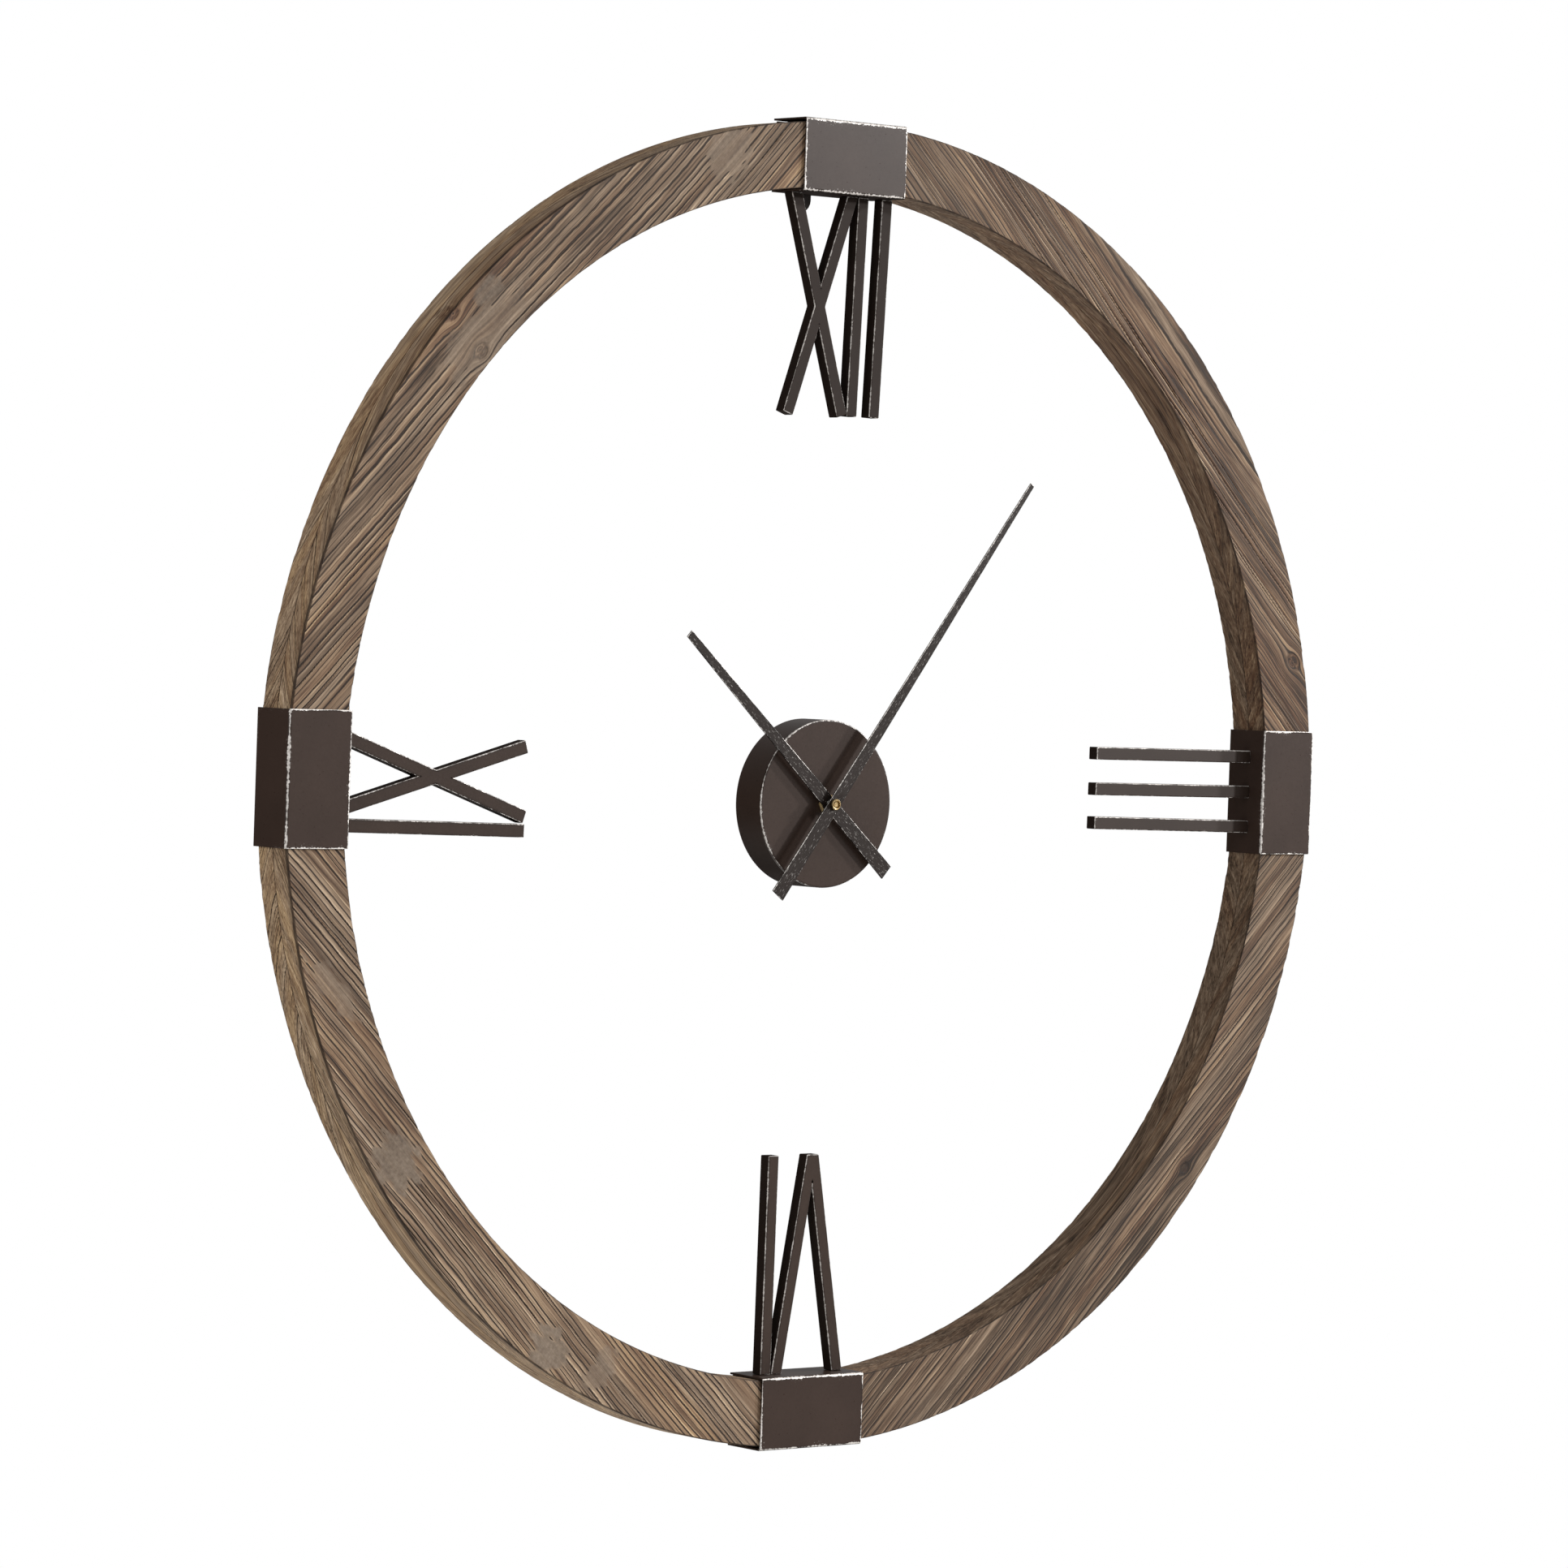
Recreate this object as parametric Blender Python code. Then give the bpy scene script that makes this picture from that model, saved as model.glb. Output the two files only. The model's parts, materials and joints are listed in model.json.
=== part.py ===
"""Open-dial wall clock.

A timber ring in two glued layers carries four steel sleeves, and Roman numerals of square bar are
welded to the sleeves. A separate round hub hangs on the wall inside the ring and holds a quartz
movement, its wheels and the two hands.

Units are metres, +Z is up, +X is right and the clock faces -Y. The wall is the plane Y = 0, and the
ring's centre is the origin. Angles are clockwise from twelve, which is a positive turn about +Y.
"""
import math

import bmesh
import bpy

MM = 0.001
GAP = 0.3 * MM                       # between pieces that lie against each other
HOURS = {"twelve": 0.0, "three": 90.0, "six": 180.0, "nine": 270.0}

# Sleeves. Across and along are measured on the wall, depth is away from it.
OVERALL = 812.8 * MM                 # outer face of a sleeve to outer face of the opposite one
SLEEVE_LENGTH = 80.0 * MM
SLEEVE_WIDTH = 44.8 * MM
SLEEVE_DEPTH = 31.9 * MM
SHEET = 1.2 * MM                     # wall of the sleeves and of the hub cup
SLEEVE_OUTER = OVERALL / 2
SLEEVE_INNER = SLEEVE_OUTER - SLEEVE_WIDTH
SLEEVE_MIDDLE = (SLEEVE_INNER + SLEEVE_OUTER) / 2
SLEEVE_CORNER = 1.6 * MM

# Timber ring
RING_OUTER = 405.6 * MM
RING_INNER = 365.4 * MM
RING_FRONT = -(SLEEVE_DEPTH - SHEET - GAP)
RING_BACK = -0.4 * MM
RING_STEPS = 28                      # straight runs in a quarter turn
RING_JOINT = 0.3 * MM                # between quarters, and between the two layers
RING_MIDDLE = (RING_FRONT + RING_BACK) / 2

# Straps and screws behind the sleeves
STRAP_LENGTH = 76.0 * MM
STRAP_THICKNESS = 1.5 * MM
STRAP_SIDE_GAP = 0.4 * MM
EAR_MIDDLES = (-17.5 * MM, 22.0 * MM)  # hanging ears of the top strap
EAR_WIDTH = 15.0 * MM
EAR_REACH = 10.6 * MM                # below the sleeve's inner face
EAR_HOLE = 2.5 * MM
SCREW_OFFSET = 24.0 * MM
SCREW_SHANK = 1.6 * MM
SCREW_HEAD = 3.4 * MM
SCREW_LENGTH = 14.5 * MM
SCREW_CLEARANCE = 0.3 * MM

# Numeral bars: each runs from its foot on the sleeve to its tip, both given across the numeral.
BAR = 8.0 * MM
BAR_EDGE = 0.8 * MM
BAR_MIDDLE_Y = -SLEEVE_DEPTH / 2
WELD_GAP = 0.15 * MM
FOOT = SLEEVE_INNER - WELD_GAP
TIP = 227.0 * MM
STRAIGHT_BARS = {
    "twelve_bar_inner": ("twelve", 17.1, 13.4),
    "twelve_bar_outer": ("twelve", 36.1, 31.3),
    "three_bar_upper": ("three", -22.7, -23.1),
    "three_bar_middle": ("three", 0.2, -0.4),
    "three_bar_lower": ("three", 22.8, 21.2),
    "six_bar": ("six", 28.3, 27.6),
    "nine_bar": ("nine", -26.9, -29.2),
}
CROSSED_BARS = {                     # falling bar, rising bar
    "twelve": ((-35.8, 5.6), (8.4, -37.0)),
    "nine": ((-17.9, 20.6), (25.7, -21.0)),
}
V_FEET = (-28.5, 19.7)
V_POINT = -3.5
V_MEETING = 223.9 * MM               # where the centre lines of the V would meet

# Hub
HUB_X = 0.0
HUB_Z = -11.0 * MM                   # the hub hangs a little below the ring's centre
HUB_RADIUS = 51.6 * MM
HUB_FRONT = -24.5 * MM
HUB_BACK = -0.2 * MM
HUB_STEPS = 64

# Movement. Depths are Y values, and places are measured from the hub's axis.
CASE_HALF = 28.0 * MM
CASE_WALL = 1.2 * MM
CASE_FRONT = -22.0 * MM
CASE_BACK = -4.5 * MM
LOOP_RADIUS = 8.0 * MM               # hanger loop on top of the case
LOOP_RISE = 5.0 * MM
LOOP_HOLE = 3.0 * MM
LOOP_THICKNESS = 2.0 * MM
BAY_TOP = -12.5 * MM                 # underside of the wall above the battery bay
NECK_RADIUS = 4.0 * MM
NECK_FRONT = -26.7 * MM
TUBE_RADIUS = 2.5 * MM
TUBE_BORE = 1.75 * MM
ARBOR_RADIUS = 1.5 * MM
RUNNING = 0.25 * MM
PIVOT = 0.5 * MM
PIVOT_HOLE = 0.65 * MM
SPINDLE = 0.7 * MM
PLATE_FRONT = CASE_FRONT + CASE_WALL
COVER_FRONT = -5.9 * MM
COVER_BACK = -4.7 * MM
BATTERY_RADIUS = 7.0 * MM
BATTERY_LENGTH = 49.0 * MM
BATTERY_Z = -19.6 * MM
BATTERY_Y = -13.0 * MM

# Wheels: teeth of each mesh, driver first
CANNON_TEETH, MINUTE_TEETH = 12, 36
MINUTE_PINION_TEETH, HOUR_TEETH = 10, 40
KNOB_TEETH = 12
ROTOR_TEETH, INTERMEDIATE_TEETH = 8, 40
INTERMEDIATE_PINION_TEETH, SECOND_TEETH = 8, 48
SECOND_PINION_TEETH, THIRD_TEETH = 8, 64
THIRD_PINION_TEETH, CENTRE_TEETH = 8, 60

# Front and back of each gear, as Y values
DEPTHS = {
    "cannon": (-18.5 * MM, -16.9 * MM),
    "hour": (-20.3 * MM, -18.9 * MM),
    "minute_pinion": (-20.3 * MM, -18.1 * MM),
    "minute": (-18.4 * MM, -17.0 * MM),
    "knob": (-18.4 * MM, -17.0 * MM),
    "rotor": (-11.0 * MM, -9.1 * MM),
    "intermediate_pinion": (-12.8 * MM, -10.6 * MM),
    "intermediate": (-10.8 * MM, -9.6 * MM),
    "second_pinion": (-14.6 * MM, -12.4 * MM),
    "second": (-12.6 * MM, -11.4 * MM),
    "third_pinion": (-16.7 * MM, -14.2 * MM),
    "third": (-14.4 * MM, -13.2 * MM),
    "centre": (-16.5 * MM, -15.1 * MM),
}
FULL_SPINDLE = (-20.5 * MM, -6.2 * MM, -21.8 * MM, -4.9 * MM)    # shoulders, then pivot ends
SECOND_SPINDLE = (-14.8 * MM, -6.2 * MM, -15.9 * MM, -4.9 * MM)
KNOB_SPINDLE = (-20.5 * MM, -3.5 * MM, -21.8 * MM, -3.4 * MM)
KNOB_GRIP = (-4.1 * MM, -1.4 * MM)
KNOB_FLUTES = 18
KNOB_RADII = (4.5 * MM, 5.0 * MM)
ROTOR_MAGNET = (-9.3 * MM, -6.6 * MM)
ROTOR_MAGNET_RADIUS = 2.9 * MM
ARBOR = (-34.4 * MM, -14.9 * MM)
ARBOR_SOCKET = -16.2 * MM            # bottom of the hole in its back end
HOUR_TUBE = (-29.0 * MM, -19.0 * MM)

# Distance and clockwise direction from one axis to the next
MINUTE_DISTANCE, MINUTE_DIRECTION = 12.0 * MM, 90.0
KNOB_DISTANCE, KNOB_DIRECTION = 12.0 * MM, 40.0
THIRD_DISTANCE, THIRD_DIRECTION = 11.9 * MM, 15.0
INTERMEDIATE_DISTANCE, INTERMEDIATE_DIRECTION = 12.04 * MM, -75.0
ROTOR_DISTANCE, ROTOR_DIRECTION = 10.8 * MM, -10.0

# Hands
HAND_THICKNESS = 1.0 * MM
HOUR_HAND_Y = -28.3 * MM
HOUR_HAND_ANGLE = -48.35
HOUR_HAND = {"tip": 153.0 * MM, "tail": 63.0 * MM, "tip_width": 5.0 * MM, "tail_width": 10.2 * MM}
MINUTE_HAND_Y = -32.3 * MM
MINUTE_HAND_ANGLE = 37.05
MINUTE_HAND = {"tip": 253.0 * MM, "tail": 70.0 * MM, "tip_width": 3.3 * MM, "tail_width": 10.0 * MM}
HAND_NUT_RADIUS = 3.4 * MM
HAND_NUT_FRONT = -35.0 * MM
HAND_BORE_GAP = 0.2 * MM

THROUGH_FRONT = -40.0 * MM           # in front of every piece, for tools that cut right through
THROUGH_BACK = 5.0 * MM              # behind the wall plane, likewise

MATERIALS = {                        # base colour, roughness, metallic
    "timber": ((0.30, 0.225, 0.165), 0.80, 0.0),
    "bronze_paint": ((0.075, 0.056, 0.050), 0.42, 0.6),
    "hand_paint": ((0.085, 0.072, 0.064), 0.45, 0.6),
    "zinc_steel": ((0.55, 0.55, 0.53), 0.40, 1.0),
    "brass": ((0.70, 0.50, 0.20), 0.30, 1.0),
    "rubber": ((0.02, 0.02, 0.02), 0.85, 0.0),
    "black_plastic": ((0.025, 0.025, 0.027), 0.45, 0.0),
    "white_plastic": ((0.80, 0.79, 0.74), 0.40, 0.0),
    "battery_wrap": ((0.10, 0.22, 0.12), 0.35, 0.2),
    "board": ((0.03, 0.18, 0.07), 0.50, 0.0),
    "copper": ((0.72, 0.30, 0.14), 0.30, 1.0),
    "grey_steel": ((0.35, 0.35, 0.36), 0.35, 1.0),
}


# ---------------------------------------------------------------- general helpers

def clear_scene():
    for obj in list(bpy.data.objects):
        bpy.data.objects.remove(obj)


def material(name):
    """A Principled material from the table above, made once."""
    if name in bpy.data.materials:
        return bpy.data.materials[name]
    colour, roughness, metallic = MATERIALS[name]
    made = bpy.data.materials.new(name)
    made.use_nodes = True
    shader = made.node_tree.nodes["Principled BSDF"]
    shader.inputs["Base Color"].default_value = (*colour, 1.0)
    shader.inputs["Roughness"].default_value = roughness
    shader.inputs["Metallic"].default_value = metallic
    return made


def place(name, mesh, finish=None, at=(0.0, 0.0), turn=0.0, y=0.0):
    """An object at (x, z), turned clockwise by some degrees about its own Y axis."""
    obj = bpy.data.objects.new(name, mesh)
    bpy.context.scene.collection.objects.link(obj)
    obj.location = (at[0], y, at[1])
    obj.rotation_euler = (0.0, math.radians(turn), 0.0)
    if finish:
        mesh.materials.clear()
        mesh.materials.append(material(finish))
    return obj


def finish_mesh(bm, name):
    bmesh.ops.remove_doubles(bm, verts=bm.verts, dist=1e-7)
    bmesh.ops.recalc_face_normals(bm, faces=bm.faces)
    mesh = bpy.data.meshes.new(name)
    bm.to_mesh(mesh)
    bm.free()
    mesh.shade_smooth()
    mesh.set_sharp_from_angle(angle=math.radians(35))
    return mesh


def prism(outline, y_low, y_high, name="prism"):
    """A straight prism along Y over an outline of (x, z) points."""
    bm = bmesh.new()
    face = bm.faces.new([bm.verts.new((x, y_low, z)) for x, z in outline])
    lifted = bmesh.ops.extrude_face_region(bm, geom=[face])
    moved = [v for v in lifted["geom"] if isinstance(v, bmesh.types.BMVert)]
    bmesh.ops.translate(bm, verts=moved, vec=(0.0, y_high - y_low, 0.0))
    return finish_mesh(bm, name)


def turned(profile, steps, name="turned"):
    """A solid of revolution about Y from a closed profile of (radius, y) points."""
    bm = bmesh.new()
    verts = [bm.verts.new((radius, y, 0.0)) for radius, y in profile]
    edges = []
    for i, (radius, _) in enumerate(profile):
        if radius > 0 or profile[i - 1][0] > 0:
            edges.append(bm.edges.new((verts[i - 1], verts[i])))
    bmesh.ops.spin(bm, geom=verts + edges, cent=(0, 0, 0), axis=(0, 1, 0),
                   angle=2 * math.pi, steps=steps, use_merge=True)
    return finish_mesh(bm, name)


def rod(radius, y_low, y_high, steps=16):
    """A plain round bar along Y."""
    return turned([(0, y_low), (radius, y_low), (radius, y_high), (0, y_high)], steps, "rod")


def box(low, high, name="box"):
    """A box from its lowest to its highest corner."""
    outline = [(low[0], low[2]), (high[0], low[2]), (high[0], high[2]), (low[0], high[2])]
    return prism(outline, low[1], high[1], name)


def boolean(target, tool, operation):
    """Join tool to target, or cut it away, and drop the tool."""
    change = target.modifiers.new(operation.lower(), "BOOLEAN")
    change.operation = operation
    change.object = tool
    bpy.context.view_layer.update()
    depsgraph = bpy.context.evaluated_depsgraph_get()
    target.data = bpy.data.meshes.new_from_object(target.evaluated_get(depsgraph))
    target.modifiers.clear()
    bpy.data.objects.remove(tool)


def cut(target, mesh, **where):
    boolean(target, place("cutter", mesh, **where), "DIFFERENCE")


def join(target, mesh, **where):
    boolean(target, place("addition", mesh, **where), "UNION")


def soften(obj, width, steps=1):
    """Round the edges of a finished shape with a bevel."""
    bevel = obj.modifiers.new("soft_edges", "BEVEL")
    bevel.width = width
    bevel.segments = steps
    bevel.limit_method = "ANGLE"
    bevel.angle_limit = math.radians(40)


def from_hub(x, z):
    return (HUB_X + x, HUB_Z + z)


def step_from(start, distance, direction):
    """The point at a distance and a clockwise direction from another one."""
    angle = math.radians(direction)
    return (start[0] + distance * math.sin(angle), start[1] + distance * math.cos(angle))


# ---------------------------------------------------------------- timber ring

def quarter_outline():
    """The quarter from twelve to three. Its ends are planed flat where the sleeves cover them."""
    flat = SLEEVE_OUTER - SHEET - GAP
    half_joint = RING_JOINT / 2
    outer = []
    inner = []
    for step in range(RING_STEPS + 1):
        angle = math.radians(90 * step / RING_STEPS)
        for radius, points in ((RING_OUTER, outer), (RING_INNER, inner)):
            x = min(max(radius * math.sin(angle), half_joint), flat)
            z = min(max(radius * math.cos(angle), half_joint), flat)
            points.append((x, z))
    return outer + inner[::-1]


def timber_ring():
    layers = {
        "front": (RING_FRONT, RING_MIDDLE - RING_JOINT / 2),
        "back": (RING_MIDDLE + RING_JOINT / 2, RING_BACK),
    }
    quarters = {"upper_right": 0, "lower_right": 90, "lower_left": 180, "upper_left": 270}
    for layer, (y_low, y_high) in layers.items():
        first = place("quarter", prism(quarter_outline(), y_low, y_high, f"ring_{layer}"), "timber")
        if layer == "back":
            recess_quarter(first)
        for quarter, turn in quarters.items():
            place(f"ring_{layer}_{quarter}", first.data, turn=turn)
        bpy.data.objects.remove(first)


def recess_quarter(quarter):
    """Sink the strap into both ends of a back quarter and drill for one screw at each end."""
    floor = -STRAP_THICKNESS - GAP
    reach = STRAP_LENGTH / 2 + GAP
    beyond = 10 * MM
    low, high = RING_INNER - beyond, RING_OUTER + beyond
    cut(quarter, box((-reach, floor, low), (reach, THROUGH_BACK, high)))
    cut(quarter, box((low, floor, -reach), (high, THROUGH_BACK, reach)))
    for at in ((SCREW_OFFSET, SLEEVE_MIDDLE), (SLEEVE_MIDDLE, SCREW_OFFSET)):
        cut(quarter, rod(SCREW_SHANK + SCREW_CLEARANCE, THROUGH_FRONT, THROUGH_BACK, 12), at=at)


# ---------------------------------------------------------------- sleeves, straps, screws

def arc(centre, radius, start, end, steps):
    """Points on an arc in a plane, angles in degrees from the first axis."""
    points = []
    for step in range(steps + 1):
        angle = math.radians(start + (end - start) * step / steps)
        points.append((centre[0] + radius * math.cos(angle), centre[1] + radius * math.sin(angle)))
    return points


def sleeve_mesh():
    """A folded channel, open towards the wall and at both ends, for twelve o'clock."""
    corner = SLEEVE_CORNER
    inside = corner - SHEET
    front = -SLEEVE_DEPTH
    low, high = SLEEVE_INNER, SLEEVE_OUTER
    section = [(0.0, low)]
    section += arc((front + corner, low + corner), corner, 270, 180, 3)
    section += arc((front + corner, high - corner), corner, 180, 90, 3)
    section += [(0.0, high), (0.0, high - SHEET)]
    section += arc((front + corner, high - corner), inside, 90, 180, 2)
    section += arc((front + corner, low + corner), inside, 180, 270, 2)
    section += [(0.0, low + SHEET)]
    bm = bmesh.new()
    half = SLEEVE_LENGTH / 2
    face = bm.faces.new([bm.verts.new((-half, y, z)) for y, z in section])
    lifted = bmesh.ops.extrude_face_region(bm, geom=[face])
    moved = [v for v in lifted["geom"] if isinstance(v, bmesh.types.BMVert)]
    bmesh.ops.translate(bm, verts=moved, vec=(SLEEVE_LENGTH, 0.0, 0.0))
    return finish_mesh(bm, "sleeve")


def sleeves():
    for hour, turn in HOURS.items():
        sleeve = place(f"sleeve_{hour}", sleeve_mesh(), "bronze_paint", turn=turn)
        if hour == "twelve":
            notch_for_ears(sleeve)


def notch_for_ears(sleeve):
    """Slots in the top sleeve's inner wall that let the hanging ears through."""
    half = EAR_WIDTH / 2 + GAP
    low, high = SLEEVE_INNER - 1 * MM, SLEEVE_INNER + SHEET + 1 * MM
    for middle in EAR_MIDDLES:
        cut(sleeve, box((middle - half, -STRAP_THICKNESS - GAP, low), (middle + half, 2 * MM, high)))


def ear_outline(middle):
    """A tongue with a round end that hangs below the strap."""
    radius = EAR_WIDTH / 2
    centre = (middle, SLEEVE_INNER - EAR_REACH + radius)
    top = SLEEVE_INNER + 4 * MM
    points = [(centre[0] + radius, top), (centre[0] - radius, top)]
    return points + arc(centre, radius, 180, 360, 10)


def straps():
    half = STRAP_LENGTH / 2
    low = SLEEVE_INNER + SHEET + STRAP_SIDE_GAP
    high = SLEEVE_OUTER - SHEET - STRAP_SIDE_GAP
    sink = turned([(0, -2 * MM), (SCREW_SHANK + SCREW_CLEARANCE, -2 * MM),
                   (SCREW_SHANK + SCREW_CLEARANCE, -STRAP_THICKNESS),
                   (SCREW_HEAD + SCREW_CLEARANCE, 0.1 * MM), (0, 0.1 * MM)], 20, "countersink")
    for hour, turn in HOURS.items():
        mesh = box((-half, -STRAP_THICKNESS, low), (half, 0.0, high), "strap")
        strap = place(f"strap_{hour}", mesh, "zinc_steel")
        for side in (-1, 1):
            cut(strap, sink, at=(side * SCREW_OFFSET, SLEEVE_MIDDLE))
        for middle in EAR_MIDDLES if hour == "twelve" else ():
            join(strap, prism(ear_outline(middle), -STRAP_THICKNESS, 0.0))
            hole = (middle, SLEEVE_INNER - EAR_REACH + EAR_WIDTH / 2)
            cut(strap, rod(EAR_HOLE, THROUGH_FRONT, THROUGH_BACK, 16), at=hole)
        strap.rotation_euler = (0.0, math.radians(turn), 0.0)


def screw_mesh():
    head_y = -0.05 * MM
    neck_y = -STRAP_THICKNESS - 0.2 * MM
    tip_y = head_y - SCREW_LENGTH
    slot_r = 1.2 * MM
    slot_y = head_y - 0.7 * MM
    profile = [(0, tip_y), (SCREW_SHANK, tip_y + 4 * MM), (SCREW_SHANK, neck_y),
               (SCREW_HEAD, head_y), (slot_r, head_y), (slot_r * 0.5, slot_y), (0, slot_y)]
    return turned(profile, 12, "wood_screw")


def screws():
    mesh = screw_mesh()
    distance = math.hypot(SCREW_OFFSET, SLEEVE_MIDDLE)
    for hour, turn in HOURS.items():
        for side, label in ((-1, "left"), (1, "right")):
            direction = turn + math.degrees(math.atan2(side * SCREW_OFFSET, SLEEVE_MIDDLE))
            place(f"screw_{hour}_{label}", mesh, "zinc_steel", at=step_from((0, 0), distance, direction))


# ---------------------------------------------------------------- numerals

def bar_outline(foot, tip, width=BAR, foot_line=FOOT, tip_line=TIP):
    """A bar seen from the front: foot parallel to the sleeve, tip cut square to the bar."""
    length = math.hypot(tip - foot, tip_line - foot_line)
    along = ((tip - foot) / length, (tip_line - foot_line) / length)
    across = (-along[1], along[0])
    half = width / 2
    points = []
    for side in (1, -1):
        edge_x = foot + side * half * across[0]
        edge_z = foot_line + side * half * across[1]
        slide = (foot_line - edge_z) / along[1]
        at_foot = (edge_x + slide * along[0], foot_line)
        at_tip = (tip + side * half * across[0], tip_line + side * half * across[1])
        points += [at_foot, at_tip] if side == 1 else [at_tip, at_foot]
    return points


def numeral_bar(name, outline):
    y_low, y_high = BAR_MIDDLE_Y - BAR / 2, BAR_MIDDLE_Y + BAR / 2
    return place(name, prism(outline, y_low, y_high, name), "bronze_paint")


def straight_bars():
    for name, (hour, foot, tip) in STRAIGHT_BARS.items():
        bar = numeral_bar(name, bar_outline(foot * MM, tip * MM))
        bar.rotation_euler = (0.0, math.radians(HOURS[hour]), 0.0)
        soften(bar, BAR_EDGE)


def crossed_bars():
    """Each X is two whole bars, halved into each other where they cross."""
    for hour, (falling, rising) in CROSSED_BARS.items():
        outlines = [bar_outline(foot * MM, tip * MM) for foot, tip in (falling, rising)]
        wide = [bar_outline(foot * MM, tip * MM, BAR + 2 * WELD_GAP, FOOT + BAR, TIP - BAR)
                for foot, tip in (extended(falling), extended(rising))]
        front_half = (BAR_MIDDLE_Y - BAR, BAR_MIDDLE_Y + WELD_GAP / 2)
        back_half = (BAR_MIDDLE_Y - WELD_GAP / 2, BAR_MIDDLE_Y + BAR)
        falling_bar = numeral_bar(f"{hour}_x_falling", outlines[0])
        rising_bar = numeral_bar(f"{hour}_x_rising", outlines[1])
        apply_soft_edges(falling_bar)
        apply_soft_edges(rising_bar)
        cut(falling_bar, prism(wide[1], *back_half))
        cut(rising_bar, prism(wide[0], *front_half))
        for bar in (falling_bar, rising_bar):
            bar.rotation_euler = (0.0, math.radians(HOURS[hour]), 0.0)


def extended(bar):
    """The same centre line, run on past the foot and the tip by one bar width."""
    foot, tip = bar
    slope = (foot - tip) * MM / (FOOT - TIP)
    return (foot + slope * BAR / MM, tip - slope * BAR / MM)


def apply_soft_edges(obj):
    """Bevel now, so that the halving cuts made later keep their sharp edges."""
    soften(obj, BAR_EDGE)
    bpy.context.view_layer.update()
    depsgraph = bpy.context.evaluated_depsgraph_get()
    obj.data = bpy.data.meshes.new_from_object(obj.evaluated_get(depsgraph))
    obj.modifiers.clear()


def v_bars():
    """The V of the six: two legs mitred together, with the point cut off flat."""
    point = V_POINT * MM
    for foot, label, side in ((V_FEET[0], "left", -1), (V_FEET[1], "right", 1)):
        foot = foot * MM
        full = bar_outline(foot, point, BAR, FOOT, V_MEETING)
        leg = numeral_bar(f"six_v_{label}", full)
        reach = 60 * MM
        mitre = point + side * WELD_GAP / 2
        beyond = sorted((mitre, mitre - side * reach))
        cut(leg, box((beyond[0], -reach, 0.0), (beyond[1], 0.0, SLEEVE_INNER + reach)))
        cut(leg, box((point - reach, -reach, 0.0), (point + reach, 0.0, TIP)))
        leg.rotation_euler = (0.0, math.radians(HOURS["six"]), 0.0)
        soften(leg, BAR_EDGE)


# ---------------------------------------------------------------- hub and case

def hub_cup():
    edge = 0.6 * MM
    inside = HUB_FRONT + SHEET
    hole = NECK_RADIUS + RUNNING
    profile = [(hole, HUB_FRONT), (HUB_RADIUS - edge, HUB_FRONT), (HUB_RADIUS, HUB_FRONT + edge),
               (HUB_RADIUS, HUB_BACK), (HUB_RADIUS - SHEET, HUB_BACK),
               (HUB_RADIUS - SHEET, inside), (hole, inside)]
    place("hub_cup", turned(profile, HUB_STEPS, "hub_cup"), "bronze_paint", at=from_hub(0, 0))


def ring_profile(inner, outer, y_low, y_high):
    return [(inner, y_low), (outer, y_low), (outer, y_high), (inner, y_high)]


def hub_fixings():
    washer = ring_profile(NECK_RADIUS + RUNNING, 8 * MM, CASE_FRONT - 1.0 * MM, CASE_FRONT - GAP)
    place("hub_washer", turned(washer, 24, "hub_washer"), "rubber", at=from_hub(0, 0))
    y_low, y_high = HUB_FRONT - 2.4 * MM, HUB_FRONT - GAP
    place_nut("hub_nut", 11.0 * MM, NECK_RADIUS + RUNNING, y_low, y_high)


def place_nut(name, across_flats, bore, y_low, y_high):
    corner = across_flats / 2 / math.cos(math.radians(30))
    outline = arc((0, 0), corner, 0, 300, 5)
    nut = place(name, prism(outline, y_low, y_high, name), "brass", at=from_hub(0, 0))
    cut(nut, rod(bore, y_low - MM, y_high + MM, 20), at=from_hub(0, 0))


def wheel_axes():
    """Where each axis stands, measured in the wall plane."""
    hub = from_hub(0, 0)
    axes = {"centre": hub}
    axes["minute"] = step_from(hub, MINUTE_DISTANCE, MINUTE_DIRECTION)
    axes["knob"] = step_from(axes["minute"], KNOB_DISTANCE, KNOB_DIRECTION)
    axes["third"] = step_from(hub, THIRD_DISTANCE, THIRD_DIRECTION)
    axes["intermediate"] = step_from(hub, INTERMEDIATE_DISTANCE, INTERMEDIATE_DIRECTION)
    axes["rotor"] = step_from(axes["intermediate"], ROTOR_DISTANCE, ROTOR_DIRECTION)
    return axes


def movement_housing(axes):
    """A square tub, open at the back, with a threaded neck and a loop to hang it by."""
    half = CASE_HALF
    inside = half - CASE_WALL
    case = place("movement_housing", box((-half, CASE_FRONT, -half), (half, CASE_BACK, half), "housing"),
                 "black_plastic", at=from_hub(0, 0))
    hub = from_hub(0, 0)
    train = box((-inside, PLATE_FRONT, BAY_TOP + CASE_WALL), (inside, 0.0, inside))
    bay = box((-inside, PLATE_FRONT, -inside), (inside, 0.0, BAY_TOP))
    cut(case, train, at=hub)
    cut(case, bay, at=hub)
    join(case, hanger_loop(), at=hub)
    cut(case, rod(LOOP_HOLE, THROUGH_FRONT, 0.0, 16), at=from_hub(0, half + LOOP_RISE))
    join(case, rod(NECK_RADIUS, NECK_FRONT, CASE_FRONT + CASE_WALL / 2, 24), at=hub)
    cut(case, rod(TUBE_RADIUS + RUNNING, THROUGH_FRONT, 0.0, 24), at=hub)
    for name in ("minute", "third", "intermediate", "rotor", "knob"):
        cut(case, rod(PIVOT_HOLE, CASE_FRONT - MM, PLATE_FRONT + MM, 10), at=axes[name])


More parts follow.
